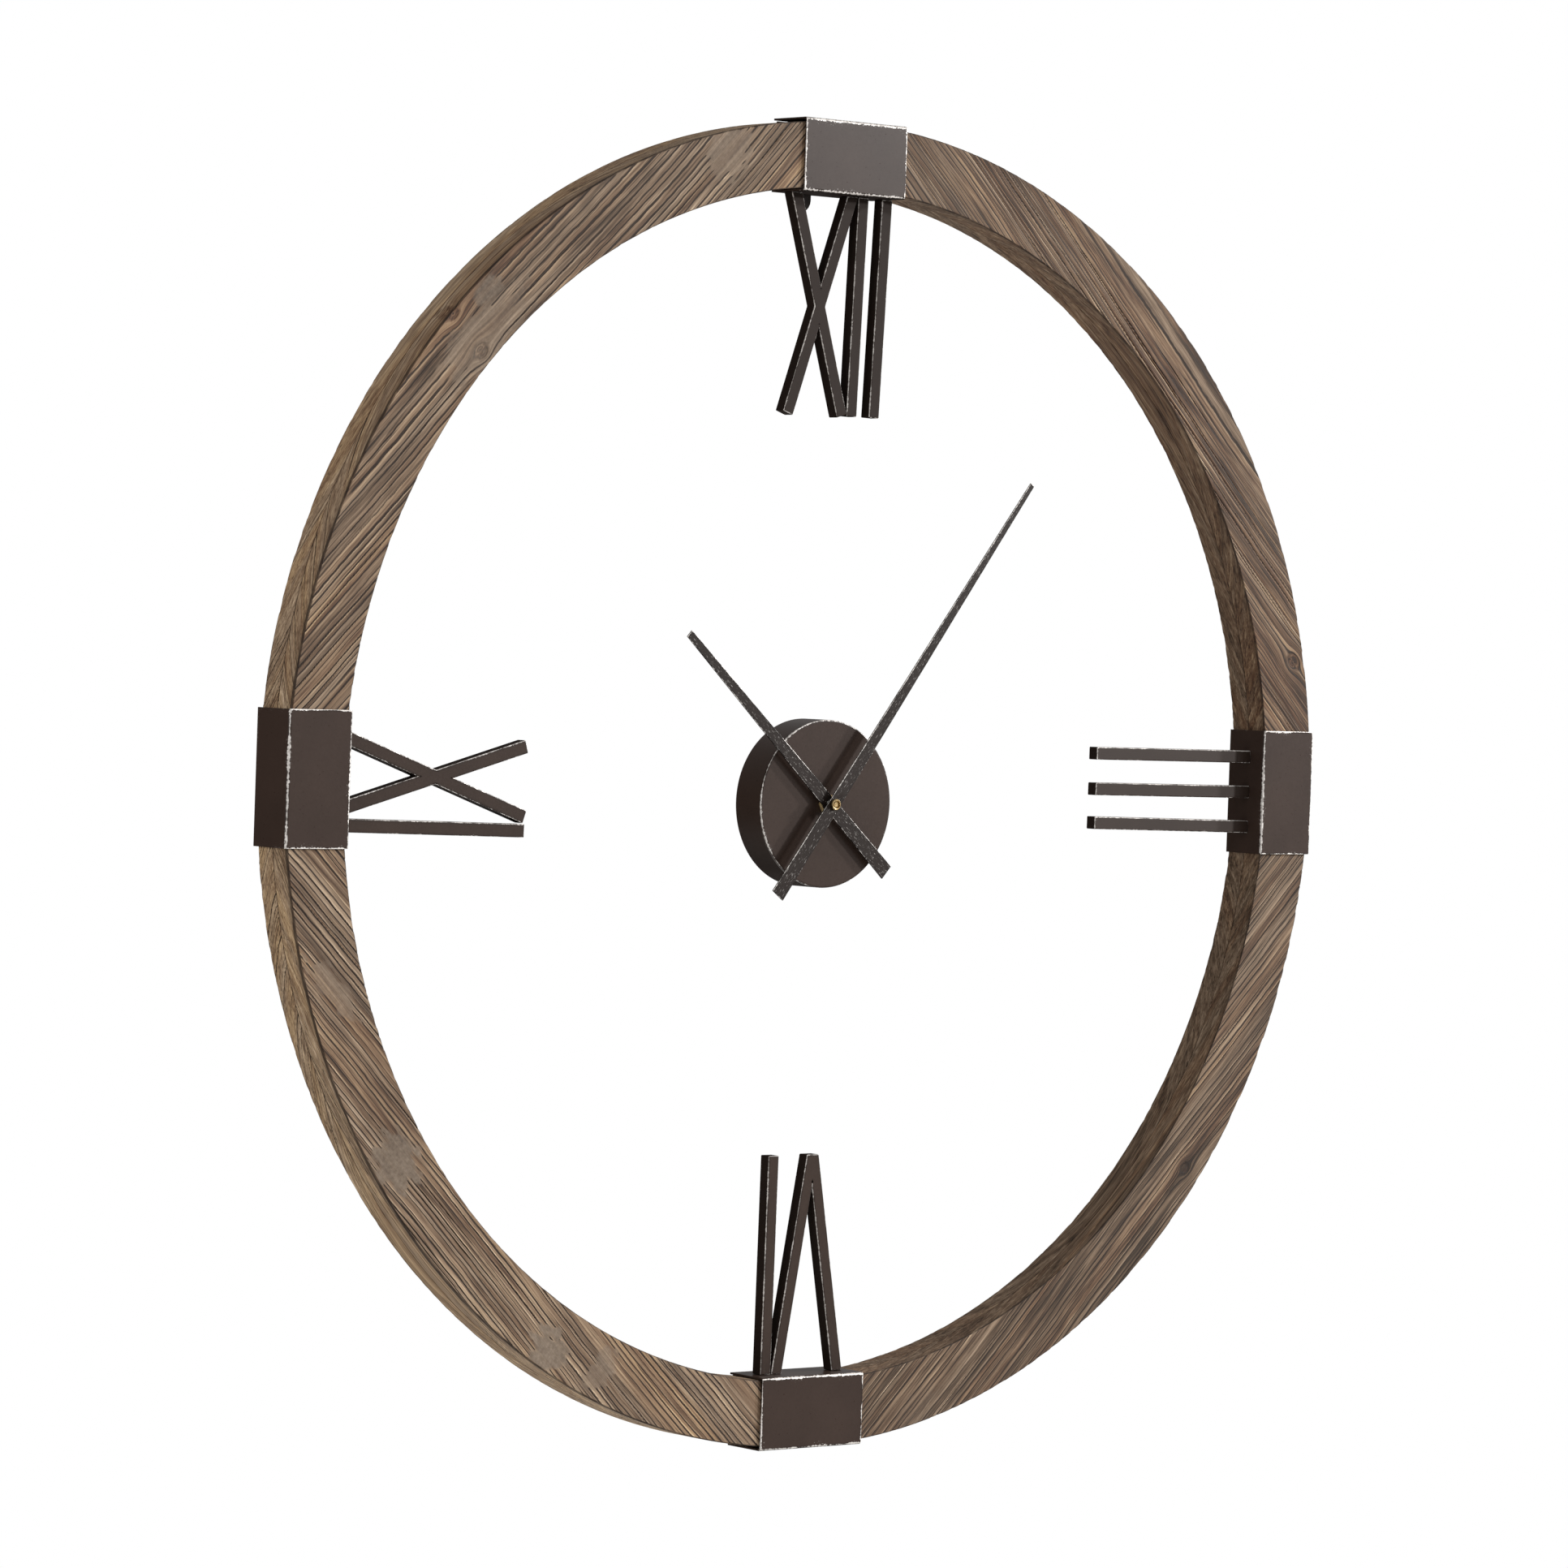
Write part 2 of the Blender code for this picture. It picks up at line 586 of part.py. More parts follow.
def hanger_loop():
    """A flat tongue with a round end on top of the case."""
    root = CASE_HALF - 0.5 * MM
    outline = [(LOOP_RADIUS, root)] + arc((0, CASE_HALF + LOOP_RISE), LOOP_RADIUS, 0, 180, 12)
    outline.append((-LOOP_RADIUS, root))
    return prism(outline, CASE_BACK - LOOP_THICKNESS, CASE_BACK)


def movement_cover(axes):
    inside = CASE_HALF - CASE_WALL - GAP
    low = BAY_TOP + CASE_WALL + GAP
    mesh = box((-inside, COVER_FRONT, low), (inside, COVER_BACK, inside), "cover")
    cover = place("movement_cover", mesh, "white_plastic", at=from_hub(0, 0))
    for name in ("centre", "minute", "third", "intermediate", "rotor"):
        cut(cover, rod(PIVOT_HOLE, COVER_FRONT - MM, COVER_BACK + MM, 10), at=axes[name])
    cut(cover, rod(1.5 * MM, COVER_FRONT - MM, COVER_BACK + MM, 14), at=axes["knob"])


def along_x(obj):
    """Lay a piece that was turned about Y on its side, so that its +Y end points to +X."""
    obj.rotation_euler = (0.0, 0.0, math.radians(-90))


def battery():
    half = BATTERY_LENGTH / 2
    nub, nub_length, edge = 2.7 * MM, 1.2 * MM, 0.6 * MM
    radius = BATTERY_RADIUS
    profile = [(0, -half), (radius - edge, -half), (radius, -half + edge), (radius, half - edge),
               (radius - edge, half), (nub, half), (nub, half + nub_length), (0, half + nub_length)]
    cell = place("battery", turned(profile, 24, "battery"), "battery_wrap",
                 at=from_hub(-0.3 * MM, BATTERY_Z), y=BATTERY_Y)
    along_x(cell)


def contacts():
    """A flat contact for the nub and a coned spring contact for the other end."""
    wall = CASE_HALF - CASE_WALL - 0.2 * MM
    sheet = 0.5 * MM
    low_z, high_z = BATTERY_Z - 5.5 * MM, BATTERY_Z + 5.5 * MM
    low_y, high_y = BATTERY_Y - 5.5 * MM, BATTERY_Y + 8.0 * MM
    place("contact_positive", box((wall - sheet, low_y, low_z), (wall, high_y, high_z)),
          "zinc_steel", at=from_hub(0, 0))
    spring = place("contact_negative", box((-wall, low_y, low_z), (-wall + sheet, high_y, high_z)),
                   "zinc_steel", at=from_hub(0, 0))
    height = 1.0 * MM
    cone = turned([(0, -MM / 2), (4.5 * MM, -MM / 2), (4.5 * MM, 0.2 * MM), (2.5 * MM, height),
                   (0, height)], 16)
    tool = place("cone", cone, at=from_hub(-wall + sheet, BATTERY_Z), y=BATTERY_Y)
    along_x(tool)
    boolean(spring, tool, "UNION")


# ---------------------------------------------------------------- electric parts

def circuit_board():
    low = (-26.3 * MM, PLATE_FRONT + GAP, -10.6 * MM)
    high = (-13.2 * MM, PLATE_FRONT + GAP + 1.0 * MM, 9.8 * MM)
    board = place("circuit_board", box(low, high, "board"), "board", at=from_hub(0, 0))
    chip = box((-22 * MM, high[1] - 0.2 * MM, -4 * MM), (-17 * MM, high[1] + 0.8 * MM, 1 * MM))
    join(board, chip, at=from_hub(0, 0))


def stator(axes):
    """A flat yoke: a bar with a round hole for the rotor and an upright at each end."""
    hub = from_hub(0, 0)
    rotor_x = axes["rotor"][0] - hub[0]
    rotor_z = axes["rotor"][1] - hub[1]
    ring = 5.4 * MM
    bar_low, bar_high, top = 15.8 * MM, 18.4 * MM, 25.6 * MM
    left, right, arm = -23.6 * MM, 24.6 * MM, 3.0 * MM
    y_low, y_high = -8.6 * MM, -7.2 * MM
    outline = [(rotor_x - ring, rotor_z - ring), (rotor_x + ring, rotor_z - ring),
               (rotor_x + ring + 2 * MM, bar_low), (right, bar_low), (right, top), (right - arm, top),
               (right - arm, bar_high), (left + arm, bar_high), (left + arm, top), (left, top),
               (left, bar_low - 3 * MM)]
    yoke = place("stator", prism(outline, y_low, y_high, "stator"), "grey_steel", at=hub)
    cut(yoke, rod(3.4 * MM, y_low - MM, y_high + MM, 20), at=axes["rotor"])


def drive_coil():
    """Bobbin, winding and core in one piece, lying across the top of the case."""
    half, flange, winding, core = 17.0 * MM, 3.1 * MM, 2.7 * MM, 0.9 * MM
    edge = 1.0 * MM
    reach = 22.4 * MM
    profile = [(0, -reach), (core, -reach), (core, -half), (flange, -half), (flange, -half + edge),
               (winding, -half + edge), (winding, half - edge), (flange, half - edge), (flange, half),
               (core, half), (core, reach), (0, reach)]
    coil = place("drive_coil", turned(profile, 20, "coil"), "copper", at=from_hub(0.5 * MM, 23.2 * MM),
                 y=-9.9 * MM)
    along_x(coil)


# ---------------------------------------------------------------- wheels

TOOTH = {                            # heights in modules, widths in circular pitches
    "wheel": {"top": 0.80, "root": 1.20, "root_width": 0.50, "pitch_width": 0.36, "top_width": 0.12},
    "pinion": {"top": 0.65, "root": 1.20, "root_width": 0.34, "pitch_width": 0.34, "top_width": 0.16},
}


def gear_outline(teeth, module, phase, form):
    """A toothed outline, with the middle of one tooth in the clockwise direction phase."""
    shape = TOOTH[form]
    pitch_radius = teeth * module / 2
    levels = [(pitch_radius - shape["root"] * module, shape["root_width"]),
              (pitch_radius, shape["pitch_width"]),
              (pitch_radius + shape["top"] * module, shape["top_width"])]
    if form == "wheel":
        levels = [levels[0], levels[2]]
    flank = [(radius, -width / 2) for radius, width in levels]
    flank += [(radius, width / 2) for radius, width in levels[::-1]]
    points = []
    for tooth in range(teeth):
        for radius, offset in flank:
            angle = math.radians(phase + 360 * (tooth + offset) / teeth)
            points.append((radius * math.sin(angle), radius * math.cos(angle)))
    return points


def meshing_phase(phase, teeth, direction, other_teeth):
    """The phase of a gear that meshes with another one found in a direction from it."""
    lead = (phase - direction) * teeth / 360 + 0.5
    return direction + 180 - 360 / other_teeth * lead


def gear(teeth, module, phase, depth, form="wheel"):
    return prism(gear_outline(teeth, module, phase, form), *DEPTHS[depth], "gear")


def spindle(y_low, y_high, front_pivot, back_pivot):
    """A round spindle along Y with a thinner pivot at each end."""
    profile = [(0, front_pivot), (PIVOT, front_pivot), (PIVOT, y_low), (SPINDLE, y_low),
               (SPINDLE, y_high), (PIVOT, y_high), (PIVOT, back_pivot), (0, back_pivot)]
    return turned(profile, 10, "spindle")


def train_wheel(name, axis, finish, parts):
    """One wheel from its spindle and the gears and discs on it, which all overlap it."""
    base = place(name, parts[0], finish, at=axis)
    for part in parts[1:]:
        join(base, part, at=axis)
    return base


def module_for(distance, teeth, other_teeth):
    """The module that makes two gears mesh at a distance."""
    return 2 * distance / (teeth + other_teeth)


def motion_work(axes):
    """Minute arbor, minute wheel, hour wheel and setting knob: twelve turns to one."""
    fast = module_for(MINUTE_DISTANCE, CANNON_TEETH, MINUTE_TEETH)
    slow = module_for(MINUTE_DISTANCE, MINUTE_PINION_TEETH, HOUR_TEETH)
    wheel_phase = meshing_phase(0, CANNON_TEETH, MINUTE_DIRECTION, MINUTE_TEETH)
    pinion_phase = meshing_phase(0, HOUR_TEETH, MINUTE_DIRECTION, MINUTE_PINION_TEETH)
    knob_phase = meshing_phase(wheel_phase, MINUTE_TEETH, KNOB_DIRECTION, KNOB_TEETH)

    arbor = train_wheel("minute_arbor", axes["centre"], "brass", [
        rod(ARBOR_RADIUS, *ARBOR, 16), gear(CANNON_TEETH, fast, 0, "cannon", "pinion")])
    cut(arbor, rod(PIVOT_HOLE, ARBOR_SOCKET, 0.0, 10), at=axes["centre"])

    hour = train_wheel("hour_wheel", axes["centre"], "white_plastic", [
        rod(TUBE_RADIUS, *HOUR_TUBE, 24), gear(HOUR_TEETH, slow, 0, "hour")])
    cut(hour, rod(TUBE_BORE, THROUGH_FRONT, 0.0, 20), at=axes["centre"])

    train_wheel("minute_wheel", axes["minute"], "white_plastic", [
        spindle(*FULL_SPINDLE),
        gear(MINUTE_PINION_TEETH, slow, pinion_phase, "minute_pinion", "pinion"),
        gear(MINUTE_TEETH, fast, wheel_phase, "minute")])

    train_wheel("set_knob", axes["knob"], "black_plastic", [
        spindle(*KNOB_SPINDLE),
        gear(KNOB_TEETH, fast, knob_phase, "knob", "pinion"),
        prism(knob_outline(), *KNOB_GRIP)])


def knob_outline():
    """A round grip with flutes."""
    points = []
    for step in range(2 * KNOB_FLUTES):
        radius = KNOB_RADII[step % 2]
        angle = math.pi * step / KNOB_FLUTES
        points.append((radius * math.sin(angle), radius * math.cos(angle)))
    return points


def time_train(axes):
    """Rotor to centre wheel: thirty rotor turns to one of the second wheel, then sixty to one."""
    first = module_for(ROTOR_DISTANCE, ROTOR_TEETH, INTERMEDIATE_TEETH)
    second = module_for(INTERMEDIATE_DISTANCE, INTERMEDIATE_PINION_TEETH, SECOND_TEETH)
    third = module_for(THIRD_DISTANCE, SECOND_PINION_TEETH, THIRD_TEETH)
    fourth = module_for(THIRD_DISTANCE, THIRD_PINION_TEETH, CENTRE_TEETH)
    rotor_phase = meshing_phase(0, INTERMEDIATE_TEETH, ROTOR_DIRECTION, ROTOR_TEETH)
    leaf_phase = meshing_phase(0, SECOND_TEETH, INTERMEDIATE_DIRECTION, INTERMEDIATE_PINION_TEETH)
    third_phase = meshing_phase(0, SECOND_PINION_TEETH, THIRD_DIRECTION, THIRD_TEETH)
    third_leaf_phase = meshing_phase(0, CENTRE_TEETH, THIRD_DIRECTION, THIRD_PINION_TEETH)

    train_wheel("rotor", axes["rotor"], "grey_steel", [
        spindle(*FULL_SPINDLE),
        gear(ROTOR_TEETH, first, rotor_phase, "rotor", "pinion"),
        rod(ROTOR_MAGNET_RADIUS, *ROTOR_MAGNET, 18)])
    train_wheel("intermediate_wheel", axes["intermediate"], "white_plastic", [
        spindle(*FULL_SPINDLE),
        gear(INTERMEDIATE_PINION_TEETH, second, leaf_phase, "intermediate_pinion", "pinion"),
        gear(INTERMEDIATE_TEETH, first, 0, "intermediate")])
    train_wheel("second_wheel", axes["centre"], "white_plastic", [
        spindle(*SECOND_SPINDLE),
        gear(SECOND_PINION_TEETH, third, 0, "second_pinion", "pinion"),
        gear(SECOND_TEETH, second, 0, "second")])
    train_wheel("third_wheel", axes["third"], "white_plastic", [
        spindle(*FULL_SPINDLE),
        gear(THIRD_PINION_TEETH, fourth, third_leaf_phase, "third_pinion", "pinion"),
        gear(THIRD_TEETH, third, third_phase, "third")])
    centre = train_wheel("centre_wheel", axes["centre"], "white_plastic", [
        gear(CENTRE_TEETH, fourth, 0, "centre")])
    cut(centre, rod(ARBOR_RADIUS + RUNNING, THROUGH_FRONT, 0.0, 20), at=axes["centre"])


# ---------------------------------------------------------------- hands

def hand(name, size, y_middle, angle, bore):
    """A flat tapered blade with square ends, longer on the tip side of its hole."""
    half_tip, half_tail = size["tip_width"] / 2, size["tail_width"] / 2
    outline = [(-half_tail, -size["tail"]), (half_tail, -size["tail"]),
               (half_tip, size["tip"]), (-half_tip, size["tip"])]
    y_low, y_high = y_middle - HAND_THICKNESS / 2, y_middle + HAND_THICKNESS / 2
    blade = place(name, prism(outline, y_low, y_high, name), "hand_paint", at=from_hub(0, 0))
    cut(blade, rod(bore, y_low - MM, y_high + MM, 20), at=from_hub(0, 0))
    blade.rotation_euler = (0.0, math.radians(angle), 0.0)


def hands():
    hand("hour_hand", HOUR_HAND, HOUR_HAND_Y, HOUR_HAND_ANGLE, TUBE_RADIUS + HAND_BORE_GAP)
    hand("minute_hand", MINUTE_HAND, MINUTE_HAND_Y, MINUTE_HAND_ANGLE, ARBOR_RADIUS + HAND_BORE_GAP)
    back = MINUTE_HAND_Y - HAND_THICKNESS / 2 - GAP
    edge = 0.4 * MM
    bore = ARBOR_RADIUS + HAND_BORE_GAP
    profile = [(bore, HAND_NUT_FRONT), (HAND_NUT_RADIUS - edge, HAND_NUT_FRONT),
               (HAND_NUT_RADIUS, HAND_NUT_FRONT + edge), (HAND_NUT_RADIUS, back), (bore, back)]
    place("hand_nut", turned(profile, 20, "hand_nut"), "brass", at=from_hub(0, 0))


def main():
    clear_scene()
    timber_ring()
    sleeves()
    straps()
    screws()
    straight_bars()
    crossed_bars()
    v_bars()
    hub_cup()
    hub_fixings()
    axes = wheel_axes()
    movement_housing(axes)
    movement_cover(axes)
    battery()
    contacts()
    circuit_board()
    stator(axes)
    drive_coil()
    motion_work(axes)
    time_train(axes)
    hands()


main()
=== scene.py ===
"""Looks of the open-dial wall clock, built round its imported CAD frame."""
import json
import math

import bmesh
import bpy
import numpy as np
from mathutils import Matrix, Vector


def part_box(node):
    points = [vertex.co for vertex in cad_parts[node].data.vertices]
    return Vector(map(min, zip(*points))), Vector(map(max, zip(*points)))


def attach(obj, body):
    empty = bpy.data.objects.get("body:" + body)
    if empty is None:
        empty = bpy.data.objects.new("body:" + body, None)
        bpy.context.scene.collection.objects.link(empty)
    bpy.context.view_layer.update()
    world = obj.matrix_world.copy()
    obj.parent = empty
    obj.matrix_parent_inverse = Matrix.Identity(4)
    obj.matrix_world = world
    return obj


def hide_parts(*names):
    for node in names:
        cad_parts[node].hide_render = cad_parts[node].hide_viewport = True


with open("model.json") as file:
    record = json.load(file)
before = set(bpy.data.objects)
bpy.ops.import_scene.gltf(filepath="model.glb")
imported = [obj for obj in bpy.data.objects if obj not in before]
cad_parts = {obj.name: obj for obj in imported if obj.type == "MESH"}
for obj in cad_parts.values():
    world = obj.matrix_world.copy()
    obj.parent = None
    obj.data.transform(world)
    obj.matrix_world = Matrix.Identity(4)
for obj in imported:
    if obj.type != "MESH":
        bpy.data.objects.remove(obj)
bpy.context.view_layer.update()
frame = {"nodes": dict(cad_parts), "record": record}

MM = 0.001  # metres in a millimetre


# ------------ camera, light and floor

YAW, PITCH, ROLL = 0.6867, 0.0254, 0.0352  # radians: from the left, from above, leaning
DISTANCE = 3.8182  # from the ring's centre, metres
SIDESTEP, RISE = 0.0106, -0.0002  # of the ring's centre from the line of sight, metres
LENS, SENSOR = 142.25, 36.0  # millimetres
LAMP_DISTANCE = 7.0  # metres, of the lamps that cast the hands' shadows
KEY_FROM, SECOND_FROM = (1.31, -1.0, 0.435), (2.5, -1.0, 0.9)
GLOW_LEVEL, GLOW_LEAST = 0.265, 0.03  # strength of the surroundings
GLOW_ABOVE, GLOW_RIGHT, GLOW_FRONT = 0.30, 0.12, 0.22
FLOOR_Z, FLOOR_HALF = -1.50, 2.3  # metres


def show(name, data):
    """A new object in the scene."""
    obj = bpy.data.objects.new(name, data)
    bpy.context.scene.collection.objects.link(obj)
    return obj


def studio_camera():
    turn = (Matrix.Rotation(ROLL, 3, "Y") @ Matrix.Rotation(PITCH, 3, "X")
            @ Matrix.Rotation(YAW, 3, "Z"))
    right, ahead, up = turn.row
    place = -(turn.transposed() @ Vector((SIDESTEP, DISTANCE, RISE)))
    data = bpy.data.cameras.new("camera")
    data.lens, data.sensor_width = LENS, SENSOR
    data.clip_start, data.clip_end = 0.1, 200.0
    camera = show("camera", data)
    axes = Matrix((right, up, -ahead)).transposed().to_4x4()
    camera.matrix_world = Matrix.Translation(place) @ axes
    bpy.context.scene.camera = camera


def soft_light(name, place, size, power, aim=(0, 0, 0), mirrored=True):
    """A square white lamp (metres, watts) that the camera can't see, turned to face a point."""
    data = bpy.data.lights.new(name, "AREA")
    data.shape, data.size, data.energy = "SQUARE", size, power
    lamp = show(name, data)
    lamp.location = place
    lamp.rotation_mode = "QUATERNION"
    lamp.rotation_quaternion = (Vector(place) - Vector(aim)).to_track_quat("Z", "Y")
    lamp.visible_camera, lamp.visible_glossy = False, mirrored


def lamps():
    """Two small far lamps for the two shadows on the hub, and three wide ones that fill in."""
    key, second = (Vector(way).normalized() * LAMP_DISTANCE for way in (KEY_FROM, SECOND_FROM))
    soft_light("key", key, size=0.5, power=315.0)
    soft_light("second", second, size=0.4, power=335.0)
    soft_light("left_card", (-1.5, -0.25, 0.15), size=0.9, power=7.0, aim=(-0.2, 0.0, 0.0))
    soft_light("rear", (0.5, 5.0, 0.5), size=2.5, power=240.0, mirrored=False)
    soft_light("top_front", (4.2, -5.1, 2.0), size=1.6, power=25.0, aim=(0, 0, 0.3))


def surroundings():
    """A white backdrop, and a softer glow for what it lights: brighter above, in front and right."""
    world = bpy.data.worlds.new("studio")
    world.use_nodes = True
    bpy.context.scene.world = world
    tree = world.node_tree
    tree.nodes.clear()
    net = Net(tree)
    split = net("SeparateXYZ", net("TexCoord").outputs["Generated"])
    level = net.math("MULTIPLY_ADD", split.outputs["Z"], GLOW_ABOVE, GLOW_LEVEL)
    level = net.math("MULTIPLY_ADD", split.outputs["X"], GLOW_RIGHT, level)
    level = net.math("MULTIPLY_ADD", split.outputs["Y"], -GLOW_FRONT, level)
    glow = tree.nodes.new("ShaderNodeBackground")
    net.link(net.math("MAXIMUM", level, GLOW_LEAST), glow.inputs["Strength"])
    plain = tree.nodes.new("ShaderNodeBackground")
    for light in (glow, plain):
        light.inputs["Color"].default_value = (1, 1, 1, 1)
    path = tree.nodes.new("ShaderNodeLightPath")
    mix = tree.nodes.new("ShaderNodeMixShader")
    net.link(path.outputs["Is Camera Ray"], mix.inputs[0])
    net.link(glow.outputs[0], mix.inputs[1])
    net.link(plain.outputs[0], mix.inputs[2])
    net.link(mix.outputs[0], tree.nodes.new("ShaderNodeOutputWorld").inputs["Surface"])


def floor():
    """A pale floor below the clock, which hangs above it and above the picture's lower edge."""
    bm = bmesh.new()
    bmesh.ops.create_grid(bm, x_segments=8, y_segments=8, size=FLOOR_HALF)
    mesh = bpy.data.meshes.new("floor")
    bm.to_mesh(mesh)
    bm.free()
    obj = show("floor", mesh)
    obj.location.z = FLOOR_Z
    net, shader = new_material("pale_floor")
    dust = net.noise(net.place(), 3.0, 3.0, 0.6)
    net.link(net.ramp(dust, [(0.3, (0.66, 0.66, 0.65)), (0.7, (0.70, 0.70, 0.69))]),
             shader.inputs["Base Color"])
    shader.inputs["Roughness"].default_value = 0.85
    mesh.materials.append(net.material)


# ------------ node helpers

class Net:
    """Short calls for adding and joining nodes in one tree."""

    def __init__(self, tree, material=None):
        self.tree, self.material = tree, material

    def __call__(self, kind, *inputs, **settings):
        node = self.tree.nodes.new("ShaderNode" + kind)
        for key, value in settings.items():
            setattr(node, key, value)
        for socket, value in zip(node.inputs, inputs):
            self.set(socket, value)
        return node

    def link(self, source, target):
        self.tree.links.new(source, target)

    def set(self, socket, value):
        if isinstance(value, bpy.types.NodeSocket):
            self.link(value, socket)
        elif value is not None:
            socket.default_value = value

    def math(self, operation, *values, clamp=False):
        return self("Math", *values, operation=operation, use_clamp=clamp).outputs[0]

    def times(self, first, second):
        return self.math("MULTIPLY", first, second)

    def rest(self, value):
        return self.math("SUBTRACT", 1.0, value)

    def fit(self, value, low, high, to_low=0.0, to_high=1.0):
        """A smooth step of value from low..high onto to_low..to_high."""
        node = self("MapRange", interpolation_type="SMOOTHSTEP")
        for socket, v in zip(node.inputs, (value, low, high, to_low, to_high)):
            self.set(socket, v)
        return node.outputs["Result"]

    def ramp(self, value, stops):
        node = self("ValToRGB", value)
        points = node.color_ramp.elements
        while len(points) < len(stops):
            points.new(0.5)
        for point, (at, colour) in zip(points, stops):
            point.position = at
            point.color = (*colour, 1.0)
        return node.outputs["Color"]

    def mix(self, share, first, second):
        node = self("Mix", data_type="RGBA")
        self.set(node.inputs["Factor"], share)
        for name, value in (("A", first), ("B", second)):
            socket = [s for s in node.inputs if s.name == name and s.type == "RGBA"][0]
            self.set(socket, (*value, 1.0) if isinstance(value, tuple) else value)
        return [s for s in node.outputs if s.type == "RGBA"][0]

    def noise(self, where, scale, detail=2.0, roughness=0.5, stretch=None):
        """Noise of a size given in swings per metre."""
        if stretch:
            where = self("VectorMath", where, stretch, operation="MULTIPLY").outputs[0]
        node = self("TexNoise")
        self.set(node.inputs["Vector"], where)
        node.inputs["Scale"].default_value = scale
        node.inputs["Detail"].default_value = detail
        node.inputs["Roughness"].default_value = roughness
        return node.outputs["Fac"]

    def attribute(self, name, output="Fac"):
        return self("Attribute", attribute_name=name).outputs[output]

    def place(self):
        return self("TexCoord").outputs["Object"]

    def bump(self, height, strength, distance):
        node = self("Bump")
        node.inputs["Strength"].default_value = strength
        node.inputs["Distance"].default_value = distance
        self.link(height, node.inputs["Height"])
        return node.outputs["Normal"]


def new_material(name):
    material = bpy.data.materials.new(name)
    material.use_nodes = True
    net = Net(material.node_tree, material)
    return net, material.node_tree.nodes["Principled BSDF"]


# ------------ materials

# Colour ramps of clean wood from the deepest shade to the palest, grey and reddish, and of filler
GREY_WOOD = [(0.0, (0.036, 0.023, 0.014)), (0.25, (0.108, 0.069, 0.043)), (0.5, (0.215, 0.150, 0.100)),
             (0.75, (0.350, 0.257, 0.178)), (1.0, (0.640, 0.490, 0.350))]
RED_WOOD = [(0.0, (0.034, 0.017, 0.010)), (0.25, (0.112, 0.056, 0.030)), (0.5, (0.235, 0.143, 0.080)),
            (0.75, (0.400, 0.270, 0.150)), (1.0, (0.680, 0.480, 0.290))]
FILLER = [(0.32, (0.085, 0.062, 0.045)), (0.50, (0.160, 0.122, 0.090)), (0.68, (0.250, 0.195, 0.148))]
# dark colour of the grooves, cracks and arrises: dirt with painted shade
GROOVE_DIRT_AND_SHADE = (0.020, 0.012, 0.008)
DRAWN_OUT = (0.03, 1.0, 1.0)  # noise this much slower along the grain


def growth_line_marks(net, board, fibre):
    """How deep in a groove (dirt and painted shade) and how high on a crest (painted highlight) a point
    lies, and its line's own random value.
    """
    line, strength = net.attribute("line"), net.attribute("strength")
    ragged = net.noise(board, 160.0, 2.0, 0.5, (0.8, 0.3, 1.0))
    number = net.math("ADD", line, net.math("MULTIPLY_ADD", fibre, 0.16, -0.08))
    number = net.math("ADD", number, net.math("MULTIPLY_ADD", ragged, 0.20, -0.10))
    # one line a unit: a groove with a soft side and a sharp one, and a painted highlight on the crest
    # before the sharp side
    part = net.math("FRACT", number)
    own = net("TexWhiteNoise", noise_dimensions="1D")
    net.link(net.math("FLOOR", line), own.inputs["W"])
    own = own.outputs["Value"]
    soft_end = net.math("MULTIPLY_ADD", own, 0.22, 0.12)
    soft_side = net.rest(net.fit(part, 0.02, soft_end))
    sharp_side = net.fit(part, 0.86, 0.92)
    groove = net.times(net.math("MAXIMUM", soft_side, sharp_side), strength)
    painted_crest_highlight = net.times(net.fit(part, 0.56, 0.78), net.rest(net.fit(part, 0.84, 0.90)))
    broken = net.noise(board, 150.0, 2.0, 0.6, (0.12, 1.0, 1.0))
    painted_crest_highlight = net.times(painted_crest_highlight, strength)
    painted_crest_highlight = net.times(painted_crest_highlight, net.fit(broken, 0.38, 0.62, 0.1, 1.0))
    return groove, painted_crest_highlight, own


